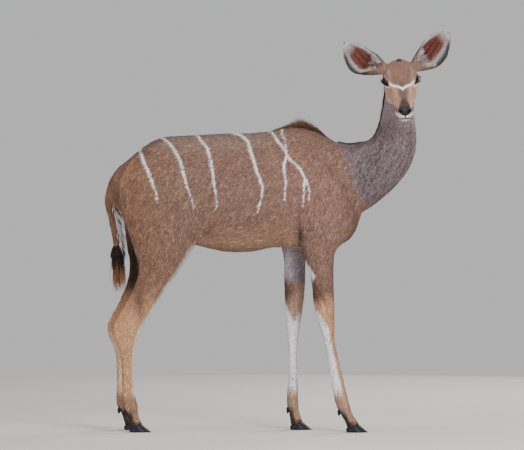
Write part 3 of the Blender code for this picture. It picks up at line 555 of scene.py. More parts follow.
# Stripes of her right flank: breadth, then the path from the spine down, as along and up in her own
# measure
STRIPES = (
    (0.0088, ((-0.372, 1.24), (-0.369, 1.106), (-0.358, 1.067), (-0.338, 1.028), (-0.324, 0.988),
              (-0.307, 0.949), (-0.301, 0.910))),
    (0.0066, ((-0.290, 1.28), (-0.279, 1.153), (-0.252, 1.130), (-0.228, 1.098), (-0.212, 1.067),
              (-0.202, 1.028), (-0.193, 0.988), (-0.177, 0.949), (-0.165, 0.910), (-0.159, 0.882))),
    (0.0074, ((-0.158, 1.30), (-0.145, 1.167), (-0.134, 1.146), (-0.106, 1.114), (-0.094, 1.067),
              (-0.086, 1.028), (-0.081, 0.988), (-0.075, 0.949), (-0.069, 0.910), (-0.071, 0.882))),
    (0.0078, ((-0.012, 1.30), (0.004, 1.170), (0.024, 1.165), (0.051, 1.142), (0.063, 1.106),
              (0.075, 1.067), (0.086, 1.028), (0.098, 0.996), (0.110, 0.965), (0.106, 0.926),
              (0.098, 0.894), (0.090, 0.870))),
    (0.0066, ((0.140, 1.30), (0.147, 1.175), (0.163, 1.150), (0.177, 1.133), (0.190, 1.117), (0.202, 1.096),
              (0.212, 1.075), (0.236, 1.055), (0.259, 1.028), (0.273, 0.996), (0.271, 0.957),
              (0.269, 0.918), (0.267, 0.890))),
    (0.0063, ((0.184, 1.26), (0.187, 1.170), (0.196, 1.145), (0.200, 1.125), (0.204, 1.104))),
    (0.0084, ((0.204, 1.085), (0.193, 1.051), (0.195, 1.012), (0.202, 0.981), (0.196, 0.949),
              (0.196, 0.910))),
    (0.0084, ((0.273, 0.996), (0.287, 0.973), (0.293, 0.941), (0.291, 0.910))),
)
SHOULDER_EDGE = ((0.384, 1.230), (0.402, 1.137), (0.442, 1.047), (0.464, 0.969), (0.494, 0.915),
                 (0.530, 0.870))


def stripe_edge(body):
    """Distance from the edge of the nearest stripe, below 0 on it. Each fades and thins as it falls."""
    side = np.where(body[:, 1] > 0, 1.0, 0.0)
    lean = 0.010 * np.sin(body[:, 2] * 21 + body[:, 0] * 9) + 0.006
    flat = np.stack([body[:, 0] - side * lean, body[:, 2]], 1)
    edge = np.full(len(body), 9.0)
    for breadth, path in STRIPES:
        lowest = path[-1][1]
        wide = breadth / 2 * (0.35 + 0.75 * soft(body[:, 2], lowest, lowest + 0.16))
        edge = np.minimum(edge, path_distance(flat, path) - wide)
    return np.where(body[:, 2] > 0.84, edge, 9.0)


def ahead_of(body, path):
    """How far a point lies in front of a path that runs downwards."""
    heights, lengths = np.array(path)[::-1, 1], np.array(path)[::-1, 0]
    return body[:, 0] - np.interp(body[:, 2], heights, lengths)


def along_run(run, share):
    """What a run's rows come to at shares of its way, from 0 to 1."""
    steps = np.linspace(0, 1, len(run))
    return np.stack([np.interp(share, steps, column) for column in np.transpose(run)], 1)


def ear_places(spots, normals):
    """For each ear: share of its length, place across it from -1 to 1, and whether it is the inside."""
    found = []
    for side, axis, opening, lower in EARS:
        axes = ear_axes(axis, opening, lower)
        axis, opening, across, _ = axes
        root = from_head(EAR_ROOT * (1, side, 1))
        s = np.clip((spots - root) @ axis / EAR_LENGTH, 0, 1)
        stations = [ear_station(side, axes, share) for share in np.linspace(0, 1, 40)]
        table = along_run([(*middle, radius, half_turn) for middle, radius, half_turn in stations], s)
        radius, half_turn = table[:, 3], table[:, 4]
        away = spots - table[:, :3]
        turn = np.arctan2(away @ across, -(away @ opening))
        here = (abs(np.linalg.norm(away - (away @ axis)[:, None] * axis, axis=1) - radius) < 0.012)
        here &= ((spots - root) @ axis > 0.012) & ((spots - root) @ axis < EAR_LENGTH * 1.04)
        inside = (np.einsum("ij,ij->i", normals, away) < 0) & here
        toward = turn / half_turn * (1 if across @ np.array(lower) > 0 else -1)
        found.append((here, s, toward, inside))
    return found


def lay_trunk(lay, patch, body, normals, outward):
    """The trunk's browns, lifted with painted light on the back, rump and belly; the grey neck with painted
    light on its top and throat; and painted shade in the folds of the legs.
    """
    x, y, z = body.T
    lay(RUMP_BROWN, 1 - soft(x, -0.42, -0.18))
    lay(SHOULDER_BROWN, patch((0.33, 0.96), (0.15, 0.26)))
    # The belly's brown, with painted light lifting the underside where it faces away from the lamps
    lay(BELLY_BROWN_AND_PAINTED_LIGHT, 0.75 * soft(-normals[:, 2], 0.25, 0.9) * soft(z, 0.66, 0.70) * (x < 0.42))
    lay(SPINE_BROWN, 0.55 * bell(y, 0.011) * soft(normals[:, 2], 0.5, 0.9) * (x < 0.45))
    trunk = soft(z, 0.66, 0.72)
    neck = soft(ahead_of(body, SHOULDER_EDGE) + 0.006 * np.sin(z * 130), -0.024, 0.030)
    neck = neck * soft(z, 0.85, 0.91)
    lay(NECK_GREY, neck)
    lay(SHOULDER_SHADE, 0.5 * neck * patch((0.545, 1.00), (0.06, 0.11)))
    # Painted light on the upper neck where the head shades it, and a painted lit rim down the front of the
    # throat
    lay(NAPE_PAINTED_LIGHT, 0.6 * neck * soft(z, 1.17, 1.27))
    lay(THROAT_PAINTED_LIGHT, 0.55 * neck * soft(normals[:, 0], 0.62, 0.95))
    # Painted light on the upward-facing back
    lay(BACK_PAINTED_LIGHT, 0.28 * soft(normals[:, 2], 0.30, 0.80) * soft(z, 1.05, 1.15) * (1 - soft(x, 0.06, 0.28)))
    # Painted light on the back-facing rear of the rump, against its shade
    lay(REAR_PAINTED_LIGHT, 0.55 * soft(-normals[:, 0], 0.25, 0.75) * soft(z, 0.92, 1.00)
        * (1 - soft(x, -0.42, -0.34)))
    # Painted shade in the crease behind the elbow
    lay(DARK_HAIR_AND_SHADE, 0.85 * trunk * bell(x - 0.256, 0.010) * bell(z - 0.775, 0.060) * soft(outward, 0.1, 0.5))
    # Painted shade under the fold of the flank, in front of the thigh
    lay(LEG_PATCH_AND_SHADE, 0.75 * patch((-0.104, 0.784), (0.042, 0.017)) * soft(outward, -0.2, 0.2))


def lay_legs(lay, patch, body, normals, outward):
    """White shins with tan fronts, grey and pale insides, dark knees and fetlocks, first the fore legs.
    Behind, painted shade between the thighs and a painted highlight down their front edges.
    """
    x, y, z = body.T
    fore = (1 - soft(z, 0.69, 0.76)) * (x > 0)
    wavy = 0.006 * np.sin(x * 210 + z * 90) + 0.004 * np.sin(x * 470 - z * 60)
    front = soft(normals[:, 0], 0.0, 0.45)
    inner = soft(-outward, 0.0, 0.5)
    rear_edge = soft(-normals[:, 0], 0.42, 0.85) * (1 - 0.75 * inner)
    lay(INNER_GREY, fore * inner * soft(z, 0.56, 0.60) * 0.9)
    lay(PALE_HAIR_AND_HIGHLIGHT, fore * soft(rear_edge - abs(z + wavy - 0.620) / 0.050, -0.05, 0.35) * 0.85)
    lay(INNER_PALE, 0.8 * fore * inner * soft(-normals[:, 0], -0.3, 0.9) * soft(z, 0.56, 0.60))
    lean = 0.066 * normals[:, 0] * (1 - inner) - 0.075 * abs(normals[:, 0]) * inner
    shin = fore * (1 - soft(z + lean + wavy, 0.408, 0.438))
    lay(LEG_TAN, fore * (1 - soft(z + wavy, 0.48, 0.57)))
    lay(INNER_TAN, 0.80 * fore * inner * (1 - soft(z, 0.56, 0.60)) * soft(z, 0.38, 0.42))
    strip = front * (1 - inner * (1 - soft(z, 0.40, 0.50)))
    lay(LEG_WHITE, shin * (1 - strip * 0.92) * soft(z, 0.115, 0.185))
    lay(SHIN_RUST, 0.55 * fore * (1 - inner * 0.8) * soft(normals[:, 0], 0.55, 0.95)
        * (1 - soft(z, 0.44, 0.52)))
    dark = soft(0.45 - normals[:, 0] - 0.20 * inner, -0.05, 1.15)
    dark *= bell(z + wavy - 0.540 + 0.02 * normals[:, 0], 0.042)
    lay(LEG_PATCH_AND_SHADE, fore * np.minimum(dark * 1.35, 0.93))
    lay(DARK_HAIR_AND_SHADE, 0.5 * fore * soft(-normals[:, 0], 0.3, 0.9) * bell(z + wavy - 0.545, 0.030))
    flecks = bell(np.sin(z * 420 + x * 900) + np.sin(x * 1400), 0.5)
    lay(INNER_FLECK, 0.75 * fore * inner * bell(z - 0.200, 0.070) * flecks)
    lay(FORE_PASTERN, fore * (1 - soft(z + wavy, 0.115, 0.175)) * soft(z, 0.03, 0.06))

    hind = (1 - soft(z, 0.60, 0.72)) * (x < 0)
    # Dark inner thighs, with painted shade between the hind legs
    lay(DARK_HAIR_AND_SHADE, 0.75 * inner * (x < -0.1) * soft(z, 0.50, 0.60) * (1 - soft(z, 0.70, 0.85))
        * (abs(y) < 0.12))
    lay(LEG_TAN, hind * (1 - soft(z, 0.42, 0.60)))
    lay(HIND_INNER, 0.7 * hind * soft(-outward, -0.1, 0.4) * (1 - soft(z, 0.36, 0.42)) * soft(z, 0.12, 0.17))
    lay(LEG_PATCH_AND_SHADE, 0.9 * patch((-0.374, 0.515), (0.021, 0.062)) * soft(outward, -0.3, 0.2) * (x < 0))
    # Pale hair down the thigh's front edge, with a painted highlight along it
    lay(PALE_HAIR_AND_HIGHLIGHT, 0.75 * (x < -0.1) * soft(normals[:, 0], 0.50, 0.84) * soft(z, 0.10, 0.16)
        * (1 - soft(z, 0.70, 0.76)))
    lay(HIND_PASTERN, hind * (1 - soft(z, 0.12, 0.16)) * soft(z, 0.03, 0.06))
    lay(DARK_HAIR_AND_SHADE, 0.95 * soft(-normals[:, 0] + wavy * 20, -0.45, 0.50) * (1 - soft(z + wavy, 0.072, 0.100)))
    lay(DARK_HAIR_AND_SHADE, 0.8 * (1 - soft(z, 0.036, 0.050)))


def brow_line(head):
    """How far out over the brow places lie, 1 at its ends, and where the pale band crosses there."""
    out = abs(head[:, 1]) / 0.048
    return out, 0.2135 - 0.049 * np.minimum(out, 1.1)


def lay_face(lay, head, body):
    """The rusty brow, dark bridge, tan cheeks, white lips and chin, lids and the bare nose, with painted
    shade in the hollow before each eye, in the crease of the lips and inside the nostrils.
    """
    _, y, z = body.T
    u, v, w = head.T
    jaw = np.interp(u, (0.0, 0.08, 0.16, 0.26), (-0.045, -0.082, -0.088, -0.090))
    face = soft(u, -0.02, 0.02) * soft(z, 1.18, 1.20) * (y < 0.08) * soft(w - jaw, -0.016, 0.010)
    top = soft(w + 0.10 * (u - 0.1), -0.012, 0.020)
    lay(CHEEK_TAN, face * soft(u, 0.06, 0.12))
    lay(NECK_GREY, face * (1 - soft(u, 0.05, 0.10)) * (1 - soft(w, -0.03, 0.01)))
    brow, band_at = brow_line(head)
    lay(FOREHEAD_RUST, face * top * (1 - soft(u - band_at, -0.014, 0.002)))
    lay(BROW_SHADE, 0.50 * face * top * bell(u - band_at + 0.026, 0.024) * (1 - soft(brow, 0.55, 0.95)))
    lay(CROWN_RUST, 0.40 * face * top * bell(v, 0.020) * bell(u - 0.075, 0.045))
    lay(BROW_PALE, 0.30 * face * bell(abs(v) - 0.047, 0.008) * bell(u - 0.105, 0.030) * soft(w, 0.014, 0.026))
    bridge = soft(0.021 - 0.006 * soft(u, 0.20, 0.30) - abs(v), -0.012, 0.012) * soft(w, -0.04, -0.01)
    lay(BRIDGE_GREY, 0.85 * face * bridge * soft(u, 0.180, 0.215))
    wedge = soft(0.003 + 0.020 * soft(u, 0.250, 0.305) - abs(v), -0.004, 0.005)
    lay(BRIDGE_DARK, 0.75 * face * wedge * soft(u, 0.245, 0.285) * (w > -0.02))
    lay(NOSTRIL_EDGE, 0.95 * face * bell(abs(v) - 0.034, 0.007) * soft(u, 0.272, 0.288)
        * bell(w + 0.017, 0.012))
    lay(PALE_HAIR_AND_HIGHLIGHT, 0.35 * face * soft(-w, 0.050, 0.075) * soft(u, 0.06, 0.12))
    lay(CHEEK_LIGHT, 0.35 * face * bell(abs(v) - 0.030, 0.007) * bell(u - 0.240, 0.035) * (w > -0.05))
    # Painted shade in the hollow before the eye
    lay(CHEEK_PAINTED_SHADE, 0.55 * face * bell(abs(v) - 0.040, 0.008) * bell(u - 0.168, 0.016)
        * bell(w + 0.004, 0.012))
    muzzle = soft(u, 0.262, 0.286)
    lay(PALE_HAIR_AND_HIGHLIGHT, face * muzzle * soft(-w, 0.018, 0.026) * 0.97)
    lay(PALE_HAIR_AND_HIGHLIGHT, face * soft(u, 0.235, 0.262) * soft(-w, 0.050, 0.060) * 0.95)
    # The lips' dark edge, with painted shade in the crease between them
    lay(LIP_BROWN_AND_SHADE, 0.98 * face * bell(mouth_distance(head), 0.0064 + 0.0034 * soft(abs(v), 0.008, 0.024)))
    for side in (-1, 1):
        along, up, out, edge = in_eye(head, side)
        here = (out > 0) & (abs(along) < 0.05) & (abs(up) < 0.04)
        above = 0.10 + 0.80 * soft(up + along * 0.4, -0.002, 0.008)
        lay(PALE_HAIR_AND_HIGHLIGHT, here * bell(edge - 1.62, 0.30) * above)
        rim = 1.12 + 0.50 * soft(-along, 0.003, 0.014) * soft(up, -0.010, 0.002)
        lay(NOSE_BLACK, here * (1 - soft(edge - rim, 0, 0.22)))
        lay(NOSE_BLACK, 0.9 * here * bell(along - 0.0245, 0.006) * bell(up + 0.003, 0.0028))
    pad = nose_pad(head)
    lay(NOSE_SLATE, pad)
    # Painted shade inside the nostrils
    for side in (-1, 1):
        lay(NOSTRIL_PAINTED_SHADE, pad * (1 - soft(nostril_reach(head - (0, -0.0025 * side, 0), side), 1.15, 1.55)))
    lay(NOSE_BLACK, 0.9 * pad * soft(-w, 0.020, 0.026))


def lay_ears(lay, spots, normals):
    """Brown backs, and inside them down, a rusty field with darker veins and painted highlight between them,
    and dark and pale rims.
    """
    for here, s, toward, inside in ear_places(spots, normals):
        inner_share = (inside * soft(s, 0.05, 0.10)).astype(float)
        lay(EAR_BACK, here * (1 - inner_share) * soft(s, 0.02, 0.10))
        lay(EAR_DOWN, inner_share)
        rust = soft(s, 0.28, 0.44) * (1 - soft(s, 0.80, 0.93)) * soft(toward, -0.88, -0.62)
        rust = rust * (1 - soft(toward, 0.22, 0.50))
        lay(EAR_RUST, 0.95 * inner_share * rust)
        lay(EAR_WINE, 0.85 * inner_share * rust * bell(s - 0.50, 0.17) * bell(toward + 0.22, 0.34))
        # Painted highlight in streaks between the veins
        lay(EAR_PAINTED_HIGHLIGHT, 0.55 * inner_share * bell(np.sin(toward * 9 + s * 5 + 1.4), 0.40) * rust)
        lay(EAR_VEIN, 0.75 * inner_share * bell(np.sin(toward * 9 + s * 5), 0.26) * rust
            * (1 - soft(s, 0.66, 0.80)))
        lay(EAR_ORANGE, 0.8 * inner_share * bell(toward - 0.70, 0.12) * bell(s - 0.24, 0.09))
        lay(DARK_HAIR_AND_SHADE, 0.90 * here * soft(toward, 0.55, 0.82) * soft(s, 0.30, 0.42)
            * (1 - soft(s, 0.84, 0.96)))
        rim = soft(abs(toward), 0.86, 0.95)
        lay(PALE_HAIR_AND_HIGHLIGHT, 0.85 * inner_share * rim * soft(-toward, 0.2, 0.5))
        lay(PALE_HAIR_AND_HIGHLIGHT, 0.55 * inner_share * soft(s, 0.92, 0.98))
        lay(DARK_HAIR_AND_SHADE, 0.85 * here * (1 - inner_share) * soft(abs(toward), 0.74, 0.86) * soft(s, 0.18, 0.30))


def coat_of(spots, normals):
    """Colour of the hair at points of the hide, and how far each lies from a white line's edge."""
    body = spots - PLACE
    head = in_head(spots)
    outward = normals[:, 1] * np.sign(body[:, 1])
    hue = np.tile(linear(FLANK_BROWN), (len(spots), 1))

    def lay(code, share):
        """Lays a share of another colour over what is there."""
        nonlocal hue
        share = np.clip(share, 0, 1)[:, None]
        hue = hue * (1 - share) + linear(code) * share

    def patch(centre, radii):
        """1 in the middle of an oval on her side, fading out past its edge."""
        away = (body[:, ::2] - centre) / radii
        return bell(np.hypot(*away.T), 1.0)

    lay_trunk(lay, patch, body, normals, outward)
    lay_legs(lay, patch, body, normals, outward)
    lay_face(lay, head, body)
    lay_ears(lay, spots, normals)
    edge = stripe_edge(body)
    brow, band_at = brow_line(head)
    band = abs(head[:, 0] - band_at) - 0.0085 * (1.0 - 0.78 * np.minimum(brow, 1))
    band = np.maximum(band, 0.010 - head[:, 2])
    return hue, np.where((brow < 1.0) & (head[:, 0] > 0.1), np.minimum(edge, band), edge)


NOSE_LEVELS = (-0.041, -0.028, -0.023, -0.013, -0.006, 0.004)
NOSE_WIDTHS = (0.0014, 0.002, 0.013, 0.0265, 0.0265, 0.018)


def nose_pad(head):
    """1 on the bare skin of the nose, 0 off it."""
    u, v, w = head.T
    wide = np.interp(w, NOSE_LEVELS, NOSE_WIDTHS)
    front = 0.318 - 0.020 * soft(abs(v), 0.004, 0.026) - 0.006 * soft(w, -0.012, 0.004)
    return soft(wide - abs(v), -0.0010, 0.0015) * soft(u - front, -0.002, 0.002) * (w < 0.008) * (w > -0.043)


def keep(mesh, name, kind, values):
    """Stores a value for each point of a mesh, for its finish to read."""
    key = {"FLOAT": "value", "FLOAT_COLOR": "color", "FLOAT_VECTOR": "vector"}[kind]
    mesh.attributes.new(name, kind, "POINT").data.foreach_set(key, np.asarray(values, np.float32).ravel())


def mark(mesh, hue, white):
    """Stores the coat's colour and the distance to its white lines on a mesh."""
    keep(mesh, "Hue", "FLOAT_COLOR", np.hstack([hue, np.ones((len(hue), 1))]))
    keep(mesh, "White", "FLOAT", np.clip(white, -0.03, 0.03))


def add(tree, kind, inputs=(), **settings):
    """Adds a node with its settings and what goes into it."""
    node = tree.nodes.new(kind)
    for key, value in settings.items():
        setattr(node, key, value)
    for key, value in dict(inputs).items():
        if isinstance(value, bpy.types.NodeSocket):
            tree.links.new(value, node.inputs[key])
        else:
            node.inputs[key].default_value = value
    return node


def finish(name, build, **uniform):
    """A material: its shader's own values, and the nodes that build adds to it."""
    material = bpy.data.materials.new(name)
    material.use_nodes = True
    tree = material.node_tree
    shader = tree.nodes["Principled BSDF"]
    for key, value in uniform.items():
        shader.inputs[key.replace("_", " ")].default_value = value
    for key, socket in build(tree).items():
        tree.links.new(socket, shader.inputs[key])
    return material


def hair_nodes(tree, grain, bumps, tipped):
    """Hair colour from the markings, mottled as mixed hairs are, with the white lines' ragged edge."""
    place = add(tree, "ShaderNodeTexCoord").outputs["Object"]
    hue = add(tree, "ShaderNodeAttribute", attribute_name="Hue").outputs["Color"]
    line = add(tree, "ShaderNodeAttribute", attribute_name="White").outputs["Fac"]
    # Streaks 4 mm wide and 14 mm long: single hairs are too fine to show, so locks of them are drawn
    drawn = add(tree, "ShaderNodeMapping", {"Vector": place, "Scale": (260, 260, 70)}).outputs[0]
    streak = add(tree, "ShaderNodeTexNoise", {"Vector": drawn, "Scale": 1.0, "Detail": 3.0}).outputs[0]
    blotch = add(tree, "ShaderNodeTexNoise", {"Vector": place, "Scale": 22.0, "Detail": 2.0}).outputs[0]
    mixed = add(tree, "ShaderNodeMath", {0: streak, 1: grain, 2: 1 - grain / 2},
                operation="MULTIPLY_ADD").outputs[0]
    cloudy = add(tree, "ShaderNodeMath", {0: blotch, 1: 0.16, 2: 0.92}, operation="MULTIPLY_ADD").outputs[0]
    shade = add(tree, "ShaderNodeMath", {0: mixed, 1: cloudy}, operation="MULTIPLY").outputs[0]
    if tipped:
        # Painted shade at each tuft's root, paler towards its tip
        along = add(tree, "ShaderNodeAttribute", attribute_name="Along").outputs["Fac"]
        lift = add(tree, "ShaderNodeMapRange", {"Value": along, "To Min": 0.70, "To Max": 1.12}).outputs[0]
        shade = add(tree, "ShaderNodeMath", {0: shade, 1: lift}, operation="MULTIPLY").outputs[0]
    ragged = add(tree, "ShaderNodeMath", {0: streak, 1: 0.006, 2: line}, operation="MULTIPLY_ADD").outputs[0]
    white = add(tree, "ShaderNodeMapRange", {"Value": ragged, "From Min": 0.0018, "From Max": 0.0042,
                                             "To Min": 1.0, "To Max": 0.0}).outputs[0]
    pale = (*linear(STRIPE_WHITE), 1)
    marked = add(tree, "ShaderNodeMix", {0: white, 6: hue, 7: pale}, data_type="RGBA").outputs[2]
    tone = add(tree, "ShaderNodeVectorMath", {0: marked, "Scale": shade}, operation="SCALE").outputs[0]
    height = streak
    if not tipped:
        bare = add(tree, "ShaderNodeAttribute", attribute_name="Bare").outputs["Fac"]
        cells = add(tree, "ShaderNodeTexVoronoi", {"Vector": place, "Scale": 520.0}).outputs["Distance"]
        pebbles = add(tree, "ShaderNodeMath", {0: cells, 1: 0.45}, operation="MULTIPLY").outputs[0]
        height = add(tree, "ShaderNodeMix", {0: bare, 2: streak, 3: pebbles}).outputs[0]
    bump = add(tree, "ShaderNodeBump", {"Height": height, "Strength": bumps, "Distance": 0.002}).outputs[0]
    if tipped:
        return {"Base Color": tone, "Normal": bump}
    gloss = add(tree, "ShaderNodeMapRange", {"Value": bare, "To Min": 0.74, "To Max": 0.30}).outputs[0]
    return {"Base Color": tone, "Normal": bump, "Roughness": gloss}


# Skin under short flat hair: dull, with a little sheen where light grazes it, and pebbled, darker and
# moist on the bare nose
hide_finish = finish("short_coat_on_hide", lambda tree: hair_nodes(tree, 0.5, 0.7, False),
                     Specular_IOR_Level=0.3, Sheen_Weight=0.05, Sheen_Roughness=0.5)
hue, white = coat_of(spots_of(hide.data), normals_of(hide.data))
mark(hide.data, hue, white)
keep(hide.data, "Bare", "FLOAT", nose_pad(in_head(spots_of(hide.data))))
hide.data.materials.clear()
hide.data.materials.append(hide_finish)

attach(hide, "root")
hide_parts(*FLESH, "ear_left", "ear_right", "tail")

# The short coat: flat tapered tufts of hair that lie along the body from nose to tail and down the
# legs, longest on the flanks and shortest on the face and feet. Each is rooted in the hide, and
# takes its colour from the markings there, a little lighter or darker than its neighbours.
LIE = (  # where on her right side, and which way the hair lies there
    ((-0.47, -0.03, 1.00), (-0.55, -0.10, -0.80)), ((-0.42, -0.12, 0.93), (-0.40, -0.05, -0.90)),
    ((-0.38, -0.14, 0.78), (-0.30, 0.00, -0.95)), ((-0.30, -0.15, 1.05), (-0.75, -0.10, -0.60)),
    ((-0.22, -0.16, 0.90), (-0.60, 0.00, -0.75)), ((-0.20, -0.14, 0.74), (-0.15, 0.00, -1.00)),
    ((-0.10, -0.17, 1.10), (-0.88, -0.10, -0.40)), ((-0.05, -0.18, 0.92), (-0.78, 0.00, -0.55)),
    ((0.00, -0.10, 0.72), (-0.95, -0.10, -0.20)), ((0.10, -0.18, 1.10), (-0.90, -0.10, -0.42)),
    ((0.12, -0.18, 0.90), (-0.78, 0.00, -0.55)), ((0.22, -0.16, 1.06), (-0.75, -0.10, -0.60)),
    ((0.24, -0.15, 0.85), (-0.62, 0.00, -0.70)), ((0.34, -0.13, 1.02), (-0.45, -0.05, -0.85)),
    ((0.36, -0.14, 0.85), (-0.18, 0.00, -0.98)), ((0.45, -0.05, 0.84), (-0.25, 0.00, -0.95)),
    ((0.42, -0.08, 1.10), (-0.72, -0.10, -0.60)), ((0.50, -0.07, 1.00), (-0.55, -0.05, -0.80)),
    ((0.58, -0.06, 1.08), (-0.50, -0.05, -0.85)), ((0.64, -0.07, 1.20), (-0.20, -0.05, -0.98)),
    ((0.64, -0.08, 1.32), (-0.10, -0.05, -1.00)), ((0.33, -0.10, 0.60), (0.05, 0.00, -1.00)),
    ((0.36, -0.09, 0.35), (0.10, 0.00, -1.00)), ((0.41, -0.09, 0.12), (0.20, 0.00, -1.00)),
    ((0.24, -0.10, 0.60), (0.00, 0.00, -1.00)), ((0.23, -0.09, 0.35), (-0.02, 0.00, -1.00)),
    ((-0.30, -0.09, 0.60), (-0.30, 0.00, -0.95)), ((-0.42, -0.09, 0.42), (-0.35, 0.00, -0.95)),
    ((-0.42, -0.08, 0.25), (0.00, 0.00, -1.00)), ((-0.40, -0.08, 0.07), (0.25, 0.00, -1.00)),
)
LIE_IN_HEAD = (  # the same over the head, from the nose back
    ((0.31, 0.02, 0.0), (-1.0, 0.15, 0.10)), ((0.28, 0.03, -0.05), (-0.95, 0.1, -0.15)),
    ((0.22, 0.03, 0.02), (-1.0, 0.25, 0.05)), ((0.20, 0.04, -0.06), (-0.95, 0.1, -0.25)),
    ((0.15, 0.02, 0.04), (-1.0, 0.20, 0.10)), ((0.14, 0.05, -0.03), (-0.9, 0.1, -0.35)),
    ((0.10, 0.02, 0.05), (-1.0, 0.10, 0.05)), ((0.08, 0.05, -0.06), (-0.8, 0.0, -0.60)),
    ((0.04, 0.01, 0.04), (-1.0, 0.00, -0.10)), ((0.03, 0.05, -0.05), (-0.6, 0.0, -0.80)),
)
TUFT_SIZES = {  # region: length, width, how many times over it covers the hide
    "trunk": (0.0135, 0.0027, 1.90), "neck": (0.0110, 0.0024, 1.90), "head": (0.0060, 0.0017, 1.40),
    "ears": (0.0075, 0.0018, 1.1), "legs": (0.0085, 0.0023, 1.20),
}
MOST_TUFTS = 47000
TUFT_TONE = 0.34
CLUMP_SIZE = 7
CLUMP_TONE = 0.17
SPECKLED_NECK = ((0.50, 0.96), (0.56, 1.08))
chance = np.random.default_rng(11)


def lie_of_coat(spots, normals):
    """Which way the hair lies at points of the hide, along its surface."""
    body = spots - PLACE
    head = in_head(spots)
    of_head = soft(head[:, 0], -0.02, 0.05) * soft(body[:, 2], 1.20, 1.24) * (body[:, 1] < 0.10)
    total = np.zeros_like(spots)
    for measured, table, first_side, turned, share in ((body, LIE, 1, np.eye(3), 1 - of_head),
                                                       (head, LIE_IN_HEAD, -1, HEAD_AXES.T, of_head)):
        flow = np.zeros_like(spots)
        weights = np.zeros(len(spots))
        for place, way in table:
            for side in (first_side, -first_side):
                flip = np.array((1, side, 1))
                weight = 1 / (((measured - np.array(place) * flip) ** 2).sum(1) + 4e-4) ** 2
                flow += weight[:, None] * np.array(way) * flip
                weights += weight
        total += (flow / weights[:, None]) @ turned * share[:, None]
    for (_, axis, _, _), (here, s, _, _) in zip(EARS, ear_places(spots, normals)):
        share = (here * soft(s, 0.02, 0.12))[:, None]
        total = total * (1 - share) + unit(np.array(axis)) * share
    total -= normals * np.einsum("ij,ij->i", total, normals)[:, None]
    return unit(total)


def unwrapped(obj):
    """Lays the hide's own shape out flat, as a map that its coat shares."""
    bpy.context.view_layer.objects.active = obj
    obj.select_set(True)
    obj.data.uv_layers.new(name="Flat")
    bpy.ops.object.mode_set(mode="EDIT")
    bpy.ops.mesh.select_all(action="SELECT")
    bpy.ops.uv.smart_project(angle_limit=math.radians(66), island_margin=0.002)
    bpy.ops.object.mode_set(mode="OBJECT")
    obj.select_set(False)


def sown(mesh, density):
    """Roots spread evenly over a mesh: place, normal and place on the flat map."""
    spots, normals = spots_of(mesh), normals_of(mesh)
    mesh.calc_loop_triangles()
    corners, loops = (read_out(mesh.loop_triangles, key, 3, np.int32) for key in ("vertices", "loops"))
    flat = read_out(mesh.uv_layers["Flat"].data, "uv", 2)
    a, b, c = (spots[corners[:, i]] for i in range(3))
    area = np.linalg.norm(np.cross(b - a, c - a), axis=1) / 2
    sums = np.cumsum(area * density((a + b + c) / 3, unit(np.cross(b - a, c - a))))
    picks = np.searchsorted(sums, np.arange(int(sums[-1])) + chance.random(int(sums[-1])))
    picks = np.minimum(picks, len(sums) - 1)
    r, t = chance.random((2, len(picks)))
    shares = np.stack([1 - np.sqrt(r), np.sqrt(r) * (1 - t), np.sqrt(r) * t], 1)[..., None]
    return ((spots[corners[picks]] * shares).sum(1), unit((normals[corners[picks]] * shares).sum(1)),
            (flat[loops[picks]] * shares).sum(1))


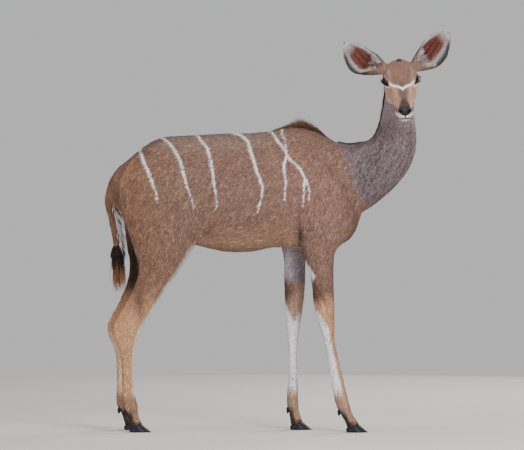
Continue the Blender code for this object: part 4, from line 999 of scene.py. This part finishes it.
def tuft_mesh(name, root, lie, up, length, width, thick, rise, flat, hue, white, tip=None, rings=0,
              bend=0.0):
    """Closed tapered tufts as one mesh: each starts at a sunk point, widens, and runs to a fine tip.
    With no rings it is a leaf with four faces."""
    count = len(root)
    length, width, thick, rise, bend = (np.broadcast_to(value, count)[:, None] for value in
                                        (length, width, thick, rise, bend))
    across = unit(np.cross(up, lie))
    points = [root - lie * length * 0.10 - up * thick * 1.5]
    along = [np.zeros(count)]
    offsets = [(0.0, -1.0)]
    for side in (-1, 1) if rings == 0 else ():
        shoulder = root + lie * length * 0.36 + across * width / 2 * side
        points.append(shoulder + up * (rise * 0.36 + thick * 0.4))
        along.append(np.full(count, 0.36))
        offsets.append((side, -0.28))
    for ring in range(rings):
        share = (ring + 0.6) / (rings + 0.6) * 0.95
        middle = root + lie * length * share + up * (rise * share + bend * length * share**2)
        taper = 1 - 0.75 * max(share - 0.3, 0)
        for side, lift in ((-1, 0.0), (1, 0.0), (0, 1.0)):
            points.append(middle + across * width / 2 * side * taper + up * thick * (lift - 0.35) * taper)
            along.append(np.full(count, share))
            offsets.append((side, share * 2 - 1 + lift * 0.05))
    points.append(root + lie * length + up * (rise + bend * length))
    along.append(np.ones(count))
    offsets.append((0.0, 1.0))
    each = len(points)
    faces = [(0, 2, 1), (0, 3, 2), (0, 1, 3)] if rings else [(0, 1, 2), (1, 3, 2), (0, 3, 1), (0, 2, 3)]
    for ring in range(rings - 1):
        low, high = 1 + 3 * ring, 4 + 3 * ring
        for i in range(3):
            j = (i + 1) % 3
            faces += [(low + i, low + j, high + j), (low + i, high + j, high + i)]
    if rings:
        last = each - 4
        faces += [(last, last + 1, each - 1), (last + 1, last + 2, each - 1), (last + 2, last, each - 1)]
    spots = np.stack(points, 1).reshape(-1, 3)
    corners = (np.array(faces)[None] + np.arange(count)[:, None, None] * each).reshape(-1)
    mesh = bpy.data.meshes.new(name)
    mesh.vertices.add(len(spots))
    mesh.vertices.foreach_set("co", spots.astype(np.float32).ravel())
    mesh.loops.add(len(corners))
    mesh.loops.foreach_set("vertex_index", corners.astype(np.int32))
    mesh.polygons.add(len(corners) // 3)
    mesh.polygons.foreach_set("loop_start", np.arange(0, len(corners), 3, dtype=np.int32))
    mesh.update(calc_edges=True)
    chart = mesh.uv_layers.new(name="OFBake")
    place = (flat[:, None] + np.array(offsets)[None] * 0.0015).reshape(-1, 2)
    chart.data.foreach_set("uv", place[corners].astype(np.float32).ravel())
    along = np.stack(along, 1)
    hues = np.repeat(hue[:, None], each, 1)
    if tip is not None:
        toward_tip = along[..., None] ** 1.6
        hues = hues * (1 - toward_tip) + tip[:, None] * toward_tip
    mark(mesh, hues.reshape(-1, 3), np.repeat(white, each))
    keep(mesh, "Along", "FLOAT", along)
    if rings == 0:
        mesh.shade_flat()
    return mesh


def worn(name, mesh, material):
    """Shows a piece of coat and fixes it to the model."""
    piece = linked(name, mesh)
    piece.data.materials.append(material)
    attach(piece, "root")
    return piece


def region_of(spots, normals):
    """Which part of the coat a place belongs to."""
    body, head = spots - PLACE, in_head(spots)
    mixed = np.sin(spots @ (1271.0, 3117.0, 747.0)) * 43758.5 % 1
    region = np.full(len(spots), "trunk", dtype="U8")
    before_shoulder = ahead_of(body, SHOULDER_EDGE) > 0.07 * mixed - 0.035
    region[before_shoulder & (body[:, 2] > 0.88 + 0.05 * mixed)] = "neck"
    region[(head[:, 0] > 0.03 * mixed - 0.01) & (body[:, 2] > 1.17 + 0.05 * mixed)] = "head"
    for here, s, _, _ in ear_places(spots, normals):
        region[here & (s > 0.03)] = "ears"
    region[body[:, 2] < 0.60 + 0.12 * mixed] = "legs"
    region[(body[:, 2] < 0.95) & (body[:, 0] < -0.44) & (abs(body[:, 1]) < 0.03)] = "tail"
    return region


def density(spots, normals):
    """Tufts to the square metre."""
    region = region_of(spots, normals)
    rate = np.zeros(len(spots))
    for name, (length, width, cover) in TUFT_SIZES.items():
        rate[region == name] = cover / (length * width * 0.5)
    head = in_head(spots)
    bare = np.maximum(nose_pad(head), mouth_distance(head) < 0.0022)
    for side in (-1, 1):
        along, _, out, edge = in_eye(head, side)
        bare = np.maximum(bare, (out > -0.01) & (edge < 1.32) & (abs(along) < 0.03))
    for here, _, _, inside in ear_places(spots, normals):
        bare = np.maximum(bare, 0.45 * (here & inside))
    return rate * (1 - np.clip(bare, 0, 1))


def clumped(spots, lie):
    """Numbers the clump that each tuft belongs to. Clumps are longer along the hair than across it."""
    centres = chance.choice(len(spots), len(spots) // CLUMP_SIZE, replace=False)
    tree = KDTree(len(centres))
    for number, centre in enumerate(centres):
        tree.insert(spots[centre], number)
    tree.balance()
    ahead = spots + lie * chance.normal(0, 0.009, (len(spots), 1))
    return np.array([tree.find(spot)[1] for spot in ahead.tolist()])


unwrapped(hide)
root, up, flat = sown(hide.data, density)
region = region_of(root, up)
lie = lie_of_coat(root, up)
clump = clumped(root, lie)
swirl = chance.normal(0, 0.16, clump.max() + 1)[clump] + chance.normal(0, 0.10, len(root))
lie = unit(lie + np.cross(up, lie) * swirl[:, None])
reach = np.array([TUFT_SIZES.get(name, (0.01,))[0] for name in region])
hue, white = coat_of(root + lie * reach[:, None] * 0.42, up)
tone = chance.normal(0, CLUMP_TONE, clump.max() + 1)[clump]
tone = np.where(region == "neck", 0.20 - 1.6 * abs(tone), tone)
from_speckled = path_distance((root - PLACE)[:, ::2], SPECKLED_NECK)
speckled = (region == "neck") * (0.13 + 0.26 * bell(from_speckled, 0.06))
tone -= 0.85 * (chance.random(clump.max() + 1)[clump] < speckled)
tone = np.exp(tone + chance.normal(0, TUFT_TONE, len(root)))[:, None]
tone = tone * (1 + chance.normal(0, 0.02, (len(root), 3)))
hue = np.clip(hue * tone, 0, 1)
white = white + chance.normal(0, 0.0019, len(root))
# Hair seen close: matt, with painted shade at its root and paler at its tip, with the faintest sheen
coat_finish = finish("short_hair", lambda tree: hair_nodes(tree, 0.35, 0.3, True),
                     Roughness=0.70, Specular_IOR_Level=0.16, Sheen_Weight=0.03, Sheen_Roughness=0.5)
for name, (length, width, _) in TUFT_SIZES.items():
    chosen = np.flatnonzero(region == name)
    spread = chosen[np.argsort(root[chosen, 0])]
    for number, part in enumerate(np.array_split(spread, -(-len(spread) // MOST_TUFTS)), 1):
        piece = f"coat_{name}_{number}"
        size = np.exp(chance.normal(0, 0.16, len(part)))
        face = in_head(root[part])[:, 0]
        size *= np.where(region[part] == "head", 1 - 0.42 * soft(face, 0.10, 0.30), 1.0)
        rise = length * 0.085 * chance.uniform(0.6, 1.4, len(part))
        mesh = tuft_mesh(piece, root[part], lie[part], up[part], length * size, width * np.sqrt(size),
                         0.0007 * np.sqrt(size), rise, flat[part], hue[part], white[part])
        worn(piece, mesh, coat_finish)

# Longer hair: the crest on the withers, the thin mane down the nape, the poll's tuft, the pale hair
# that lines the ears, the lashes and the tail's fringe and tuft. Each lock is a bent, tapered bundle
# of hair, rooted in the hide and dark at the root where hers is, and its finish adds painted shade at
# every root. A few dark hairs of the tail's fringe are painted shadow.
CREST_LOCKS = 1500
SPINE_LOCKS = 1500
NAPE_LOCKS = 1300
POLL_LOCKS = 120
TAIL_FRINGE = 2600
UPPER_LASHES = 45
LOWER_LASHES = 15


def rooted(spots):
    """The nearest places on the hide, and the way they face."""
    found = [hide.closest_point_on_mesh(Vector(spot)) for spot in spots]
    return np.array([hit[1] for hit in found]), np.array([hit[2] for hit in found])


def flat_place(spots):
    """Where the skin nearest to each point lies on the hide's flat map."""
    chart, faces = hide.data.uv_layers["Flat"].data, hide.data.polygons
    nearest = [hide.closest_point_on_mesh(Vector(spot))[3] for spot in spots]
    return np.array([chart[faces[face].loop_start].uv[:] for face in nearest])


def tones(code, count, spread=0.16):
    """So many hairs of one colour, each a little lighter or darker."""
    return np.clip(linear(code) * np.exp(chance.normal(0, spread, (count, 1))), 0, 1)


def locks(name, root, up, lie, length, width, bend, hue, tip, rings=3):
    """Long locks as one piece of the coat."""
    mesh = tuft_mesh(name, root, unit(lie), unit(up), length, width, np.asarray(width) * 0.35, 0.0,
                     flat_place(root), hue, np.full(len(root), 0.03), tip, rings, bend)
    return worn(name, mesh, coat_finish)


def on_back(along, aside):
    """Where the hide is met from straight above, and the way it faces there."""
    above = np.stack([along, aside, np.full(len(along), 1.30)], 1) + PLACE
    hits = [hide.ray_cast(Vector(spot), Vector((0, 0, -1))) for spot in above]
    return np.array([hit[1] for hit in hits]), np.array([hit[2] for hit in hits])


share = np.sort(chance.uniform(0, 1, CREST_LOCKS))
envelope = 0.16 + 0.16 * share + 0.76 * np.sin(np.pi * share**2.1)
aside = chance.normal(0, 0.0065, CREST_LOCKS)
crest_root, _ = on_back(0.162 + 0.238 * share, aside)
crest_up = unit(np.stack([np.zeros(CREST_LOCKS), aside * 14, np.ones(CREST_LOCKS)], 1))
crest_way = np.stack([np.full(CREST_LOCKS, -1.0), np.zeros(CREST_LOCKS), 0.22 + 0.68 * envelope], 1)
crest_way = unit(crest_way + chance.normal(0, 0.15, (CREST_LOCKS, 3)) * (1, 0.4, 1))
crest_length = 0.084 * envelope * chance.uniform(0.50, 1.25, CREST_LOCKS)
locks("crest", crest_root - crest_up * 0.002, crest_up, crest_way, crest_length, 0.0022, -0.14,
      tones("#2C1F1A", CREST_LOCKS), tones("#856444", CREST_LOCKS, 0.32), rings=4)

spine_root, spine_up = on_back(chance.uniform(-0.450, 0.175, SPINE_LOCKS),
                               chance.normal(0, 0.0045, SPINE_LOCKS))
_, white = coat_of(spine_root, spine_up)
hue = np.where(white[:, None] < 0.001, linear(STRIPE_WHITE), linear(SPINE_BROWN))
hue = hue * np.exp(chance.normal(0, 0.2, (SPINE_LOCKS, 1)))
spine_way = lie_of_coat(spine_root, spine_up) + spine_up * 0.30 + chance.normal(0, 0.06, (SPINE_LOCKS, 3))
locks("spine_hair", spine_root - spine_up * 0.001, spine_up, spine_way,
      chance.uniform(0.012, 0.020, SPINE_LOCKS), 0.0026, -0.16, hue, hue)

share = chance.uniform(0.10, 0.99, NAPE_LOCKS)
path = smooth_run(NAPE_LINE, 6)
x, z = along_run(path, share).T
nape = np.stack([x, chance.normal(0, 0.0035, NAPE_LOCKS), z], 1)
x, z = along_run(path, share + 0.02).T
down_nape = unit(nape - np.stack([x, nape[:, 1], z], 1))
middle = np.interp(nape[:, 2], (1.14, 1.20, 1.26, 1.35), (0, -0.030, -0.043, -0.052))
middle = np.stack([np.zeros(NAPE_LOCKS), middle, np.zeros(NAPE_LOCKS)], 1)
nape_root, nape_up = rooted(nape + middle + PLACE + (-0.02, 0, 0.02))
nape_way = down_nape + nape_up * 0.42 + chance.normal(0, 0.10, (NAPE_LOCKS, 3))
nape_length = chance.uniform(0.014, 0.026, NAPE_LOCKS) + 0.006 * np.sin(share * 9)
locks("nape_mane", nape_root - nape_up * 0.001, nape_up, nape_way, nape_length, 0.0026, -0.14,
      tones(DARK_HAIR_AND_SHADE, NAPE_LOCKS), tones("#4A3A36", NAPE_LOCKS, 0.25))

poll = np.stack([chance.normal(0.040, 0.008, POLL_LOCKS), chance.normal(0, 0.0055, POLL_LOCKS),
                 np.full(POLL_LOCKS, 0.08)], 1)
poll_root, poll_up = rooted(from_head(poll))
poll_way = HEAD_AXES @ np.array((-0.7, 0, 0.45)) + poll_up * 0.35 + chance.normal(0, 0.16, (POLL_LOCKS, 3))
locks("poll_tuft", poll_root - poll_up * 0.001, poll_up, poll_way,
      chance.uniform(0.007, 0.013, POLL_LOCKS), 0.0020, -0.2,
      tones("#5E473B", POLL_LOCKS), tones("#2F2522", POLL_LOCKS))

share = chance.uniform(0.05, 1, TAIL_FRINGE) ** 0.85
turn = chance.uniform(-math.pi, math.pi, TAIL_FRINGE)
line = tail_run(6)
x, z, girth = along_run(line, share).T
ahead = unit((along_run(line, share + 0.02) - along_run(line, share - 0.02))[:, :2])
underside = np.stack([-ahead[:, 1], np.zeros(TAIL_FRINGE), ahead[:, 0]], 1)
out = underside * np.cos(turn)[:, None] + np.array((0, 1.0, 0)) * np.sin(turn)[:, None]
tail_root = np.stack([x, np.zeros(TAIL_FRINGE), z], 1) + PLACE + out * girth[:, None] * 0.9
under = soft(np.cos(turn), 0.45, 0.85) * (1 - soft(z, 0.95, 0.98))
# A few under-hairs spread towards the thigh and coloured dark as painted shadow
painted_shadow = (under > 0.9) & (chance.random(TAIL_FRINGE) < 0.16)
spread = (0.12 + 0.14 * under + 0.36 * painted_shadow) * (1 - 0.8 * soft(z, 0.90, 0.97))
tuft_end = z < 0.738
straggling = tuft_end & (chance.random(TAIL_FRINGE) < 0.60) & (z < 0.722)
tail_way = np.stack([ahead[:, 0], np.zeros(TAIL_FRINGE), ahead[:, 1]], 1)
tail_way = tail_way + out * np.where(tuft_end, np.where(straggling, 0.27, 0.58), spread)[:, None]
tail_way = unit(tail_way + chance.normal(0, 0.055, (TAIL_FRINGE, 3)))
tail_length = np.where(tuft_end, 0.062, 0.040 + 0.040 * under) * chance.uniform(0.75, 1.05, TAIL_FRINGE)
tail_length = np.where(straggling, (z - 0.535) * chance.uniform(0.45, 1.02, TAIL_FRINGE), tail_length)
hue = np.where(under[:, None] > 0.45, tones("#E2DCDB", TAIL_FRINGE), tones("#83624C", TAIL_FRINGE))
hue = np.where(painted_shadow[:, None], tones("#4E3C34", TAIL_FRINGE), hue)
hue = np.where(tuft_end[:, None], tones("#241A1A", TAIL_FRINGE), hue)
tip = np.where(straggling[:, None], tones("#A8744A", TAIL_FRINGE), hue)
tail_bend = np.where(straggling, -0.20, np.where(tuft_end, -0.16, -0.10))
locks("tail_hair", tail_root, out, tail_way, tail_length, np.where(straggling, 0.0026, 0.0036), tail_bend,
      hue, tip, rings=4)

for ear, found, label in zip(EARS, ear_places(root, up), ("right", "left")):
    _, axis, opening, lower = ear
    here, s, toward, inside = found
    chosen = np.flatnonzero(here & inside & (s > 0.04) & (s < 0.40) & (chance.random(len(root)) < 0.75))
    chosen = chosen[chance.random(len(chosen)) < 0.25 + 0.75 * (abs(toward[chosen]) > 0.45)]
    outward, _, across, _ = ear_axes(axis, opening, lower)
    inward = -np.sign(toward[chosen])[:, None] * across * (1 if across @ np.array(lower) > 0 else -1)
    count = len(chosen)
    ear_way = outward + inward * 0.75 * abs(toward[chosen])[:, None] + up[chosen] * 0.32
    ear_way = ear_way + chance.normal(0, 0.10, (count, 3))
    locks(f"ear_hair_{label}", root[chosen], up[chosen], ear_way, chance.uniform(0.012, 0.027, count),
          0.0016, -0.12, tones("#B3A6A4", count), tones("#CFC8C8", count))

for side, label in ((-1, "right"), (1, "left")):
    gaze, long_way, high_way = eye_axes(side)
    upper_turn = chance.uniform(0.35, 0.92, UPPER_LASHES)
    turn = np.concatenate([upper_turn, -chance.uniform(0.30, 0.9, LOWER_LASHES)]) * math.pi
    count = len(turn)
    upper = turn > 0
    along, high = np.cos(turn) * LID_OPENING[0] * 1.03, np.sin(turn) * LID_OPENING[1] * 1.05
    out = np.sqrt(np.maximum((EYE_BALL + LID_LIFT) ** 2 - along**2 - high**2, 0))
    on_lid = along[:, None] * long_way + high[:, None] * high_way
    lash = EYE_IN_HEAD * (1, side, 1) + on_lid + out[:, None] * gaze
    lash_up = np.tile(HEAD_AXES @ high_way, (count, 1)) * np.where(upper, 1, -1)[:, None]
    way = gaze * 0.60 + high_way * np.where(upper, 0.10, -0.8)[:, None] - long_way * 0.75
    way = (way + chance.normal(0, 0.10, (count, 3))) @ HEAD_AXES.T
    length = np.where(upper, 0.0095 + 0.0015 * (side < 0), 0.0030) * chance.uniform(0.6, 1.0, count)
    locks(f"lashes_{label}", from_head(lash), lash_up, way, length, 0.0010, 0.12,
          tones("#15120F", count), tones("#15120F", count))

# Eyes: wet dark balls with a clear bulge of cornea, a brown iris and a pupil that lies level. They sit
# behind the lids, and their gloss is the brightest point of the face.
IRIS = 0.0118
PUPIL = (0.0078, 0.0048)
EYE_POINTS = 40
EYE_TONES = ("#0F0805", "#2B180E", "#120C0A", "#050405")


def eye_nodes(tree):
    """A black level pupil in a dark brown iris with fine spokes, and brown-black round it."""
    sight = add(tree, "ShaderNodeAttribute", attribute_name="Sight").outputs["Vector"]
    apart = add(tree, "ShaderNodeSeparateXYZ", {0: sight})
    across = add(tree, "ShaderNodeCombineXYZ", {"X": apart.outputs[0], "Y": apart.outputs[1]}).outputs[0]
    reach = add(tree, "ShaderNodeVectorMath", {0: across}, operation="LENGTH").outputs["Value"]
    oval = add(tree, "ShaderNodeVectorMath", {0: across, 1: (1 / PUPIL[0], 1 / PUPIL[1], 1)},
               operation="MULTIPLY").outputs[0]
    inside = add(tree, "ShaderNodeVectorMath", {0: oval}, operation="LENGTH").outputs["Value"]
    spokes = add(tree, "ShaderNodeTexNoise", {"Vector": sight, "Scale": 420.0, "Detail": 3.0}).outputs[0]
    dark, brown, round_it, pupil = ((*linear(code), 1) for code in EYE_TONES)
    iris = add(tree, "ShaderNodeMix", {0: spokes, 6: dark, 7: brown}, data_type="RGBA").outputs[2]
    ring = add(tree, "ShaderNodeMapRange", {"Value": reach, "From Min": IRIS - 0.0012, "From Max": IRIS})
    hole = add(tree, "ShaderNodeMapRange", {"Value": inside, "From Min": 0.94, "From Max": 1.10})
    outer = add(tree, "ShaderNodeMix", {0: ring.outputs[0], 6: iris, 7: round_it}, data_type="RGBA")
    tone = add(tree, "ShaderNodeMix", {0: hole.outputs[0], 6: pupil, 7: outer.outputs[2]}, data_type="RGBA")
    return {"Base Color": tone.outputs[2]}


# A wet ball: near black and very glossy, so that a small sharp highlight and a brown glint are seen
eye_finish = finish("wet_eye", eye_nodes, Roughness=0.05, IOR=1.376)
for side, label in ((-1, "right"), (1, "left")):
    gaze, long_way, high_way = eye_axes(side)
    turn = np.linspace(0, 2 * math.pi, EYE_POINTS, endpoint=False)
    rings = []
    sight = []
    for lean in np.linspace(0.04, math.pi - 0.10, 30):
        reach = (EYE_BALL - 0.0004) * (1 + 0.045 * bell(lean, 0.50))
        ring = np.stack([np.cos(turn) * math.sin(lean), np.sin(turn) * math.sin(lean),
                         np.full(EYE_POINTS, math.cos(lean))], 1) * reach
        sight.append(ring)
        rings.append(from_head(EYE_IN_HEAD * (1, side, 1) + ring @ np.stack([long_way, high_way, gaze])))
    eye = loft(f"ball_of_{label}_eye", rings)
    keep(eye.data, "Sight", "FLOAT_VECTOR",
         np.vstack([*sight, sight[0].mean(0)[None], sight[-1].mean(0)[None]]))
    eye.data.shade_smooth()
    eye.data.materials.append(eye_finish)
    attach(eye, "root")
    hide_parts(f"eye_{label}")

# Hooves: two pointed claws of black horn on each foot, and a pair of small dewclaws behind. Horn
# grows down from the skin in fine level ridges, and is worn smooth towards the ground; a bluish sheen
# is painted into its colour along the ridges.
CLAW_LENGTH = 0.0878
CLAW_WIDTH = 0.0257
CLAW_SLOPE = 1.20
CLAW_TOPS = (0.0150, 0.0335)
CORONET_X = 0.050
CLAW_LEVELS = (0.0, 0.035, 0.12, 0.28, 0.46, 0.64, 0.82, 1.0)
HORN_TONES = ("#08080B", "#1D2029")
DEWCLAW_GIRTHS = (0.50, 0.74, 0.86, 0.88, 0.84, 0.75, 0.60, 0.40, 0.14)


def claw(name, heel, outer):
    """Half of a cloven hoof: a pointed sole, a steep wall and a slanted top that the skin overlaps."""
    along = np.concatenate([np.linspace(0, 1, 22), np.linspace(1, 0, 10)[1:-1]])
    wall = np.arange(30) < 22
    rings = []
    for level in CLAW_LEVELS:
        height = np.full(30, 0.02 * level)
        for _ in range(6):
            length = CLAW_LENGTH - height * CLAW_SLOPE - 0.0015 * (level == 0)
            x = length * along + 0.004 * (1 - level) ** 4 * (1 - along)
            height = level * (CLAW_TOPS[0] + (CLAW_TOPS[1] - CLAW_TOPS[0]) * np.minimum(x / CORONET_X, 1.15))
        belly = np.sin(math.pi * np.minimum(0.14 + 0.64 * along, 1)) ** 0.7 * (1 - along**5 * 0.82)
        belly = np.maximum(belly, 0.10) * (1 - 0.45 * bell(along, 0.05))
        reach = (CLAW_WIDTH - 0.0012 * (level == 0) - 0.0030 * level) * belly
        side = np.where(wall, reach, 0.0004 + 0.0012 * np.sin(math.pi * along) * (1 - level))
        rings.append(np.stack([heel[0] + x, heel[1] + side * outer, height], 1))
    return loft(name, rings)


def dewclaw(low, high):
    """A small blunt drop of horn that fills its box, down to a rounded tip."""
    turn = np.linspace(0, 2 * math.pi, 20, endpoint=False)
    size = high - low
    rings = []
    for level, girth in zip(np.linspace(0.95, 0.06, 9), DEWCLAW_GIRTHS):
        ahead = 0.0045 - 0.004 * (1 - level)
        centre = (low + high) / 2 * (1, 1, 0) + np.array((ahead, 0, low[2] + size[2] * level))
        ring = np.stack([np.cos(turn) * size[0] * 0.42, np.sin(turn) * size[1] * 0.42, np.zeros(20)], 1)
        rings.append(centre + ring * girth)
    return loft("dewclaw", rings)


def horn_nodes(tree):
    """Black horn with fine growth ridges that carry a painted bluish sheen, polished where it is worn."""
    place = add(tree, "ShaderNodeTexCoord").outputs["Object"]
    drawn = add(tree, "ShaderNodeMapping", {"Vector": place, "Scale": (60, 60, 420)}).outputs[0]
    ridges = add(tree, "ShaderNodeTexNoise", {"Vector": drawn, "Scale": 1.0, "Detail": 3.0}).outputs[0]
    scuffs = add(tree, "ShaderNodeTexNoise", {"Vector": place, "Scale": 130.0, "Detail": 4.0}).outputs[0]
    black, painted_bluish_sheen = ((*linear(code), 1) for code in HORN_TONES)
    # Painted sheen: the black is mixed with a bluish tone along the ridges
    tone = add(tree, "ShaderNodeMix", {0: ridges, 6: black, 7: painted_bluish_sheen}, data_type="RGBA")
    gloss = add(tree, "ShaderNodeMapRange", {"Value": scuffs, "From Min": 0.3, "From Max": 0.7,
                                             "To Min": 0.36, "To Max": 0.58})
    bump = add(tree, "ShaderNodeBump", {"Height": ridges, "Strength": 0.5, "Distance": 0.0012})
    return {"Base Color": tone.outputs[2], "Roughness": gloss.outputs[0], "Normal": bump.outputs[0]}


# Black horn: dark, with a dull bluish sheen painted into its colour along fine level ridges, broken by scuffs
horn_finish = finish("black_horn", horn_nodes, Specular_IOR_Level=0.22)
for leg in ("foreleg_right", "foreleg_left", "hindleg_right", "hindleg_left"):
    horns = []
    for label, outer in (("right", -1), ("left", 1)):
        low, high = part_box(f"{leg}_claw_{label}")
        horns.append(claw("claw", (low[0], high[1] if outer < 0 else low[1]), outer))
        low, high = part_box(f"{leg}_dewclaw_{label}")
        horns.append(dewclaw(np.array(low), np.array(high)))
    hooves = joined(horns)
    hooves.name = hooves.data.name = f"hooves_{leg}"
    hooves.data.shade_smooth()
    hooves.data.materials.append(horn_finish)
    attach(hooves, "root")
    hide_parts(*[f"{leg}_{kind}_{label}" for kind in ("claw", "dewclaw")
                          for label in ("right", "left")])

# The studio: a plain pale floor, one broad soft light from above on the camera's right, a weaker one
# on its left, a rim from behind and a faint one overhead, and the camera far off on her right side,
# a little above her back.
FLOOR_TONES = ("#CFCBC4", "#D8D5CF")
FLOOR_RADIUS = 4.5
SKY_TONE = "#E6E6E8"
SKY_STRENGTH = 0.72
LAMPS_AIM = (0, 0, 0.85)
CAMERA_AIM = (0.106, 0, 0.811)
DISTANCE = 25.0
CAMERA_TILT = math.radians(1.5)
FRAME_WIDTH = 2.06


def floor_nodes(tree):
    """Pale matt plaster, with the faintest clouding."""
    place = add(tree, "ShaderNodeTexCoord").outputs["Object"]
    cloud = add(tree, "ShaderNodeTexNoise", {"Vector": place, "Scale": 1.4, "Detail": 3.0}).outputs[0]
    warm, light = ((*linear(code), 1) for code in FLOOR_TONES)
    tone = add(tree, "ShaderNodeMix", {0: cloud, 6: warm, 7: light}, data_type="RGBA")
    return {"Base Color": tone.outputs[2]}


turn = np.linspace(0, 2 * math.pi, 96, endpoint=False)
ground = bpy.data.meshes.new("floor")
rim = [(FLOOR_RADIUS * math.cos(t), FLOOR_RADIUS * math.sin(t), 0) for t in turn]
ground.from_pydata(rim, [], [range(len(rim))])
floor = linked("floor", ground)
# Pale plaster: an even, matt ground that takes soft shadows
floor.data.materials.append(finish("pale_plaster", floor_nodes, Roughness=0.9, Specular_IOR_Level=0.1))
lights = (  # name, place, size, power
    ("key", (2.2, -5.0, 2.9), 2.4, 330),
    ("fill", (-4.4, -4.4, 1.4), 3.2, 150),
    ("rim", (2.2, 3.6, 3.2), 2.2, 130),
    ("top", (0.0, -0.3, 4.6), 2.4, 24),
)
for name, spot, size, power in lights:
    lamp = bpy.data.objects.new(name, bpy.data.lights.new(name, "AREA"))
    lamp.data.shape = "DISK"
    lamp.data.size = size
    lamp.data.energy = power
    lamp.location = spot
    lamp.rotation_euler = (Vector(LAMPS_AIM) - Vector(spot)).to_track_quat("-Z", "Y").to_euler()
    bpy.context.scene.collection.objects.link(lamp)
world = bpy.data.worlds.new("studio")
world.use_nodes = True
sky = world.node_tree.nodes["Background"]
sky.inputs["Color"].default_value = (*linear(SKY_TONE), 1)
sky.inputs["Strength"].default_value = SKY_STRENGTH
bpy.context.scene.world = world
camera = bpy.data.objects.new("camera", bpy.data.cameras.new("camera"))
bpy.context.scene.collection.objects.link(camera)
aim = Vector(CAMERA_AIM) + Vector(PLACE)
camera.location = aim + DISTANCE * Vector((0, -math.cos(CAMERA_TILT), math.sin(CAMERA_TILT)))
camera.rotation_euler = (math.pi / 2 - CAMERA_TILT, 0, 0)
camera.data.lens = 36 * DISTANCE / FRAME_WIDTH
camera.data.clip_end = 60
bpy.context.scene.camera = camera
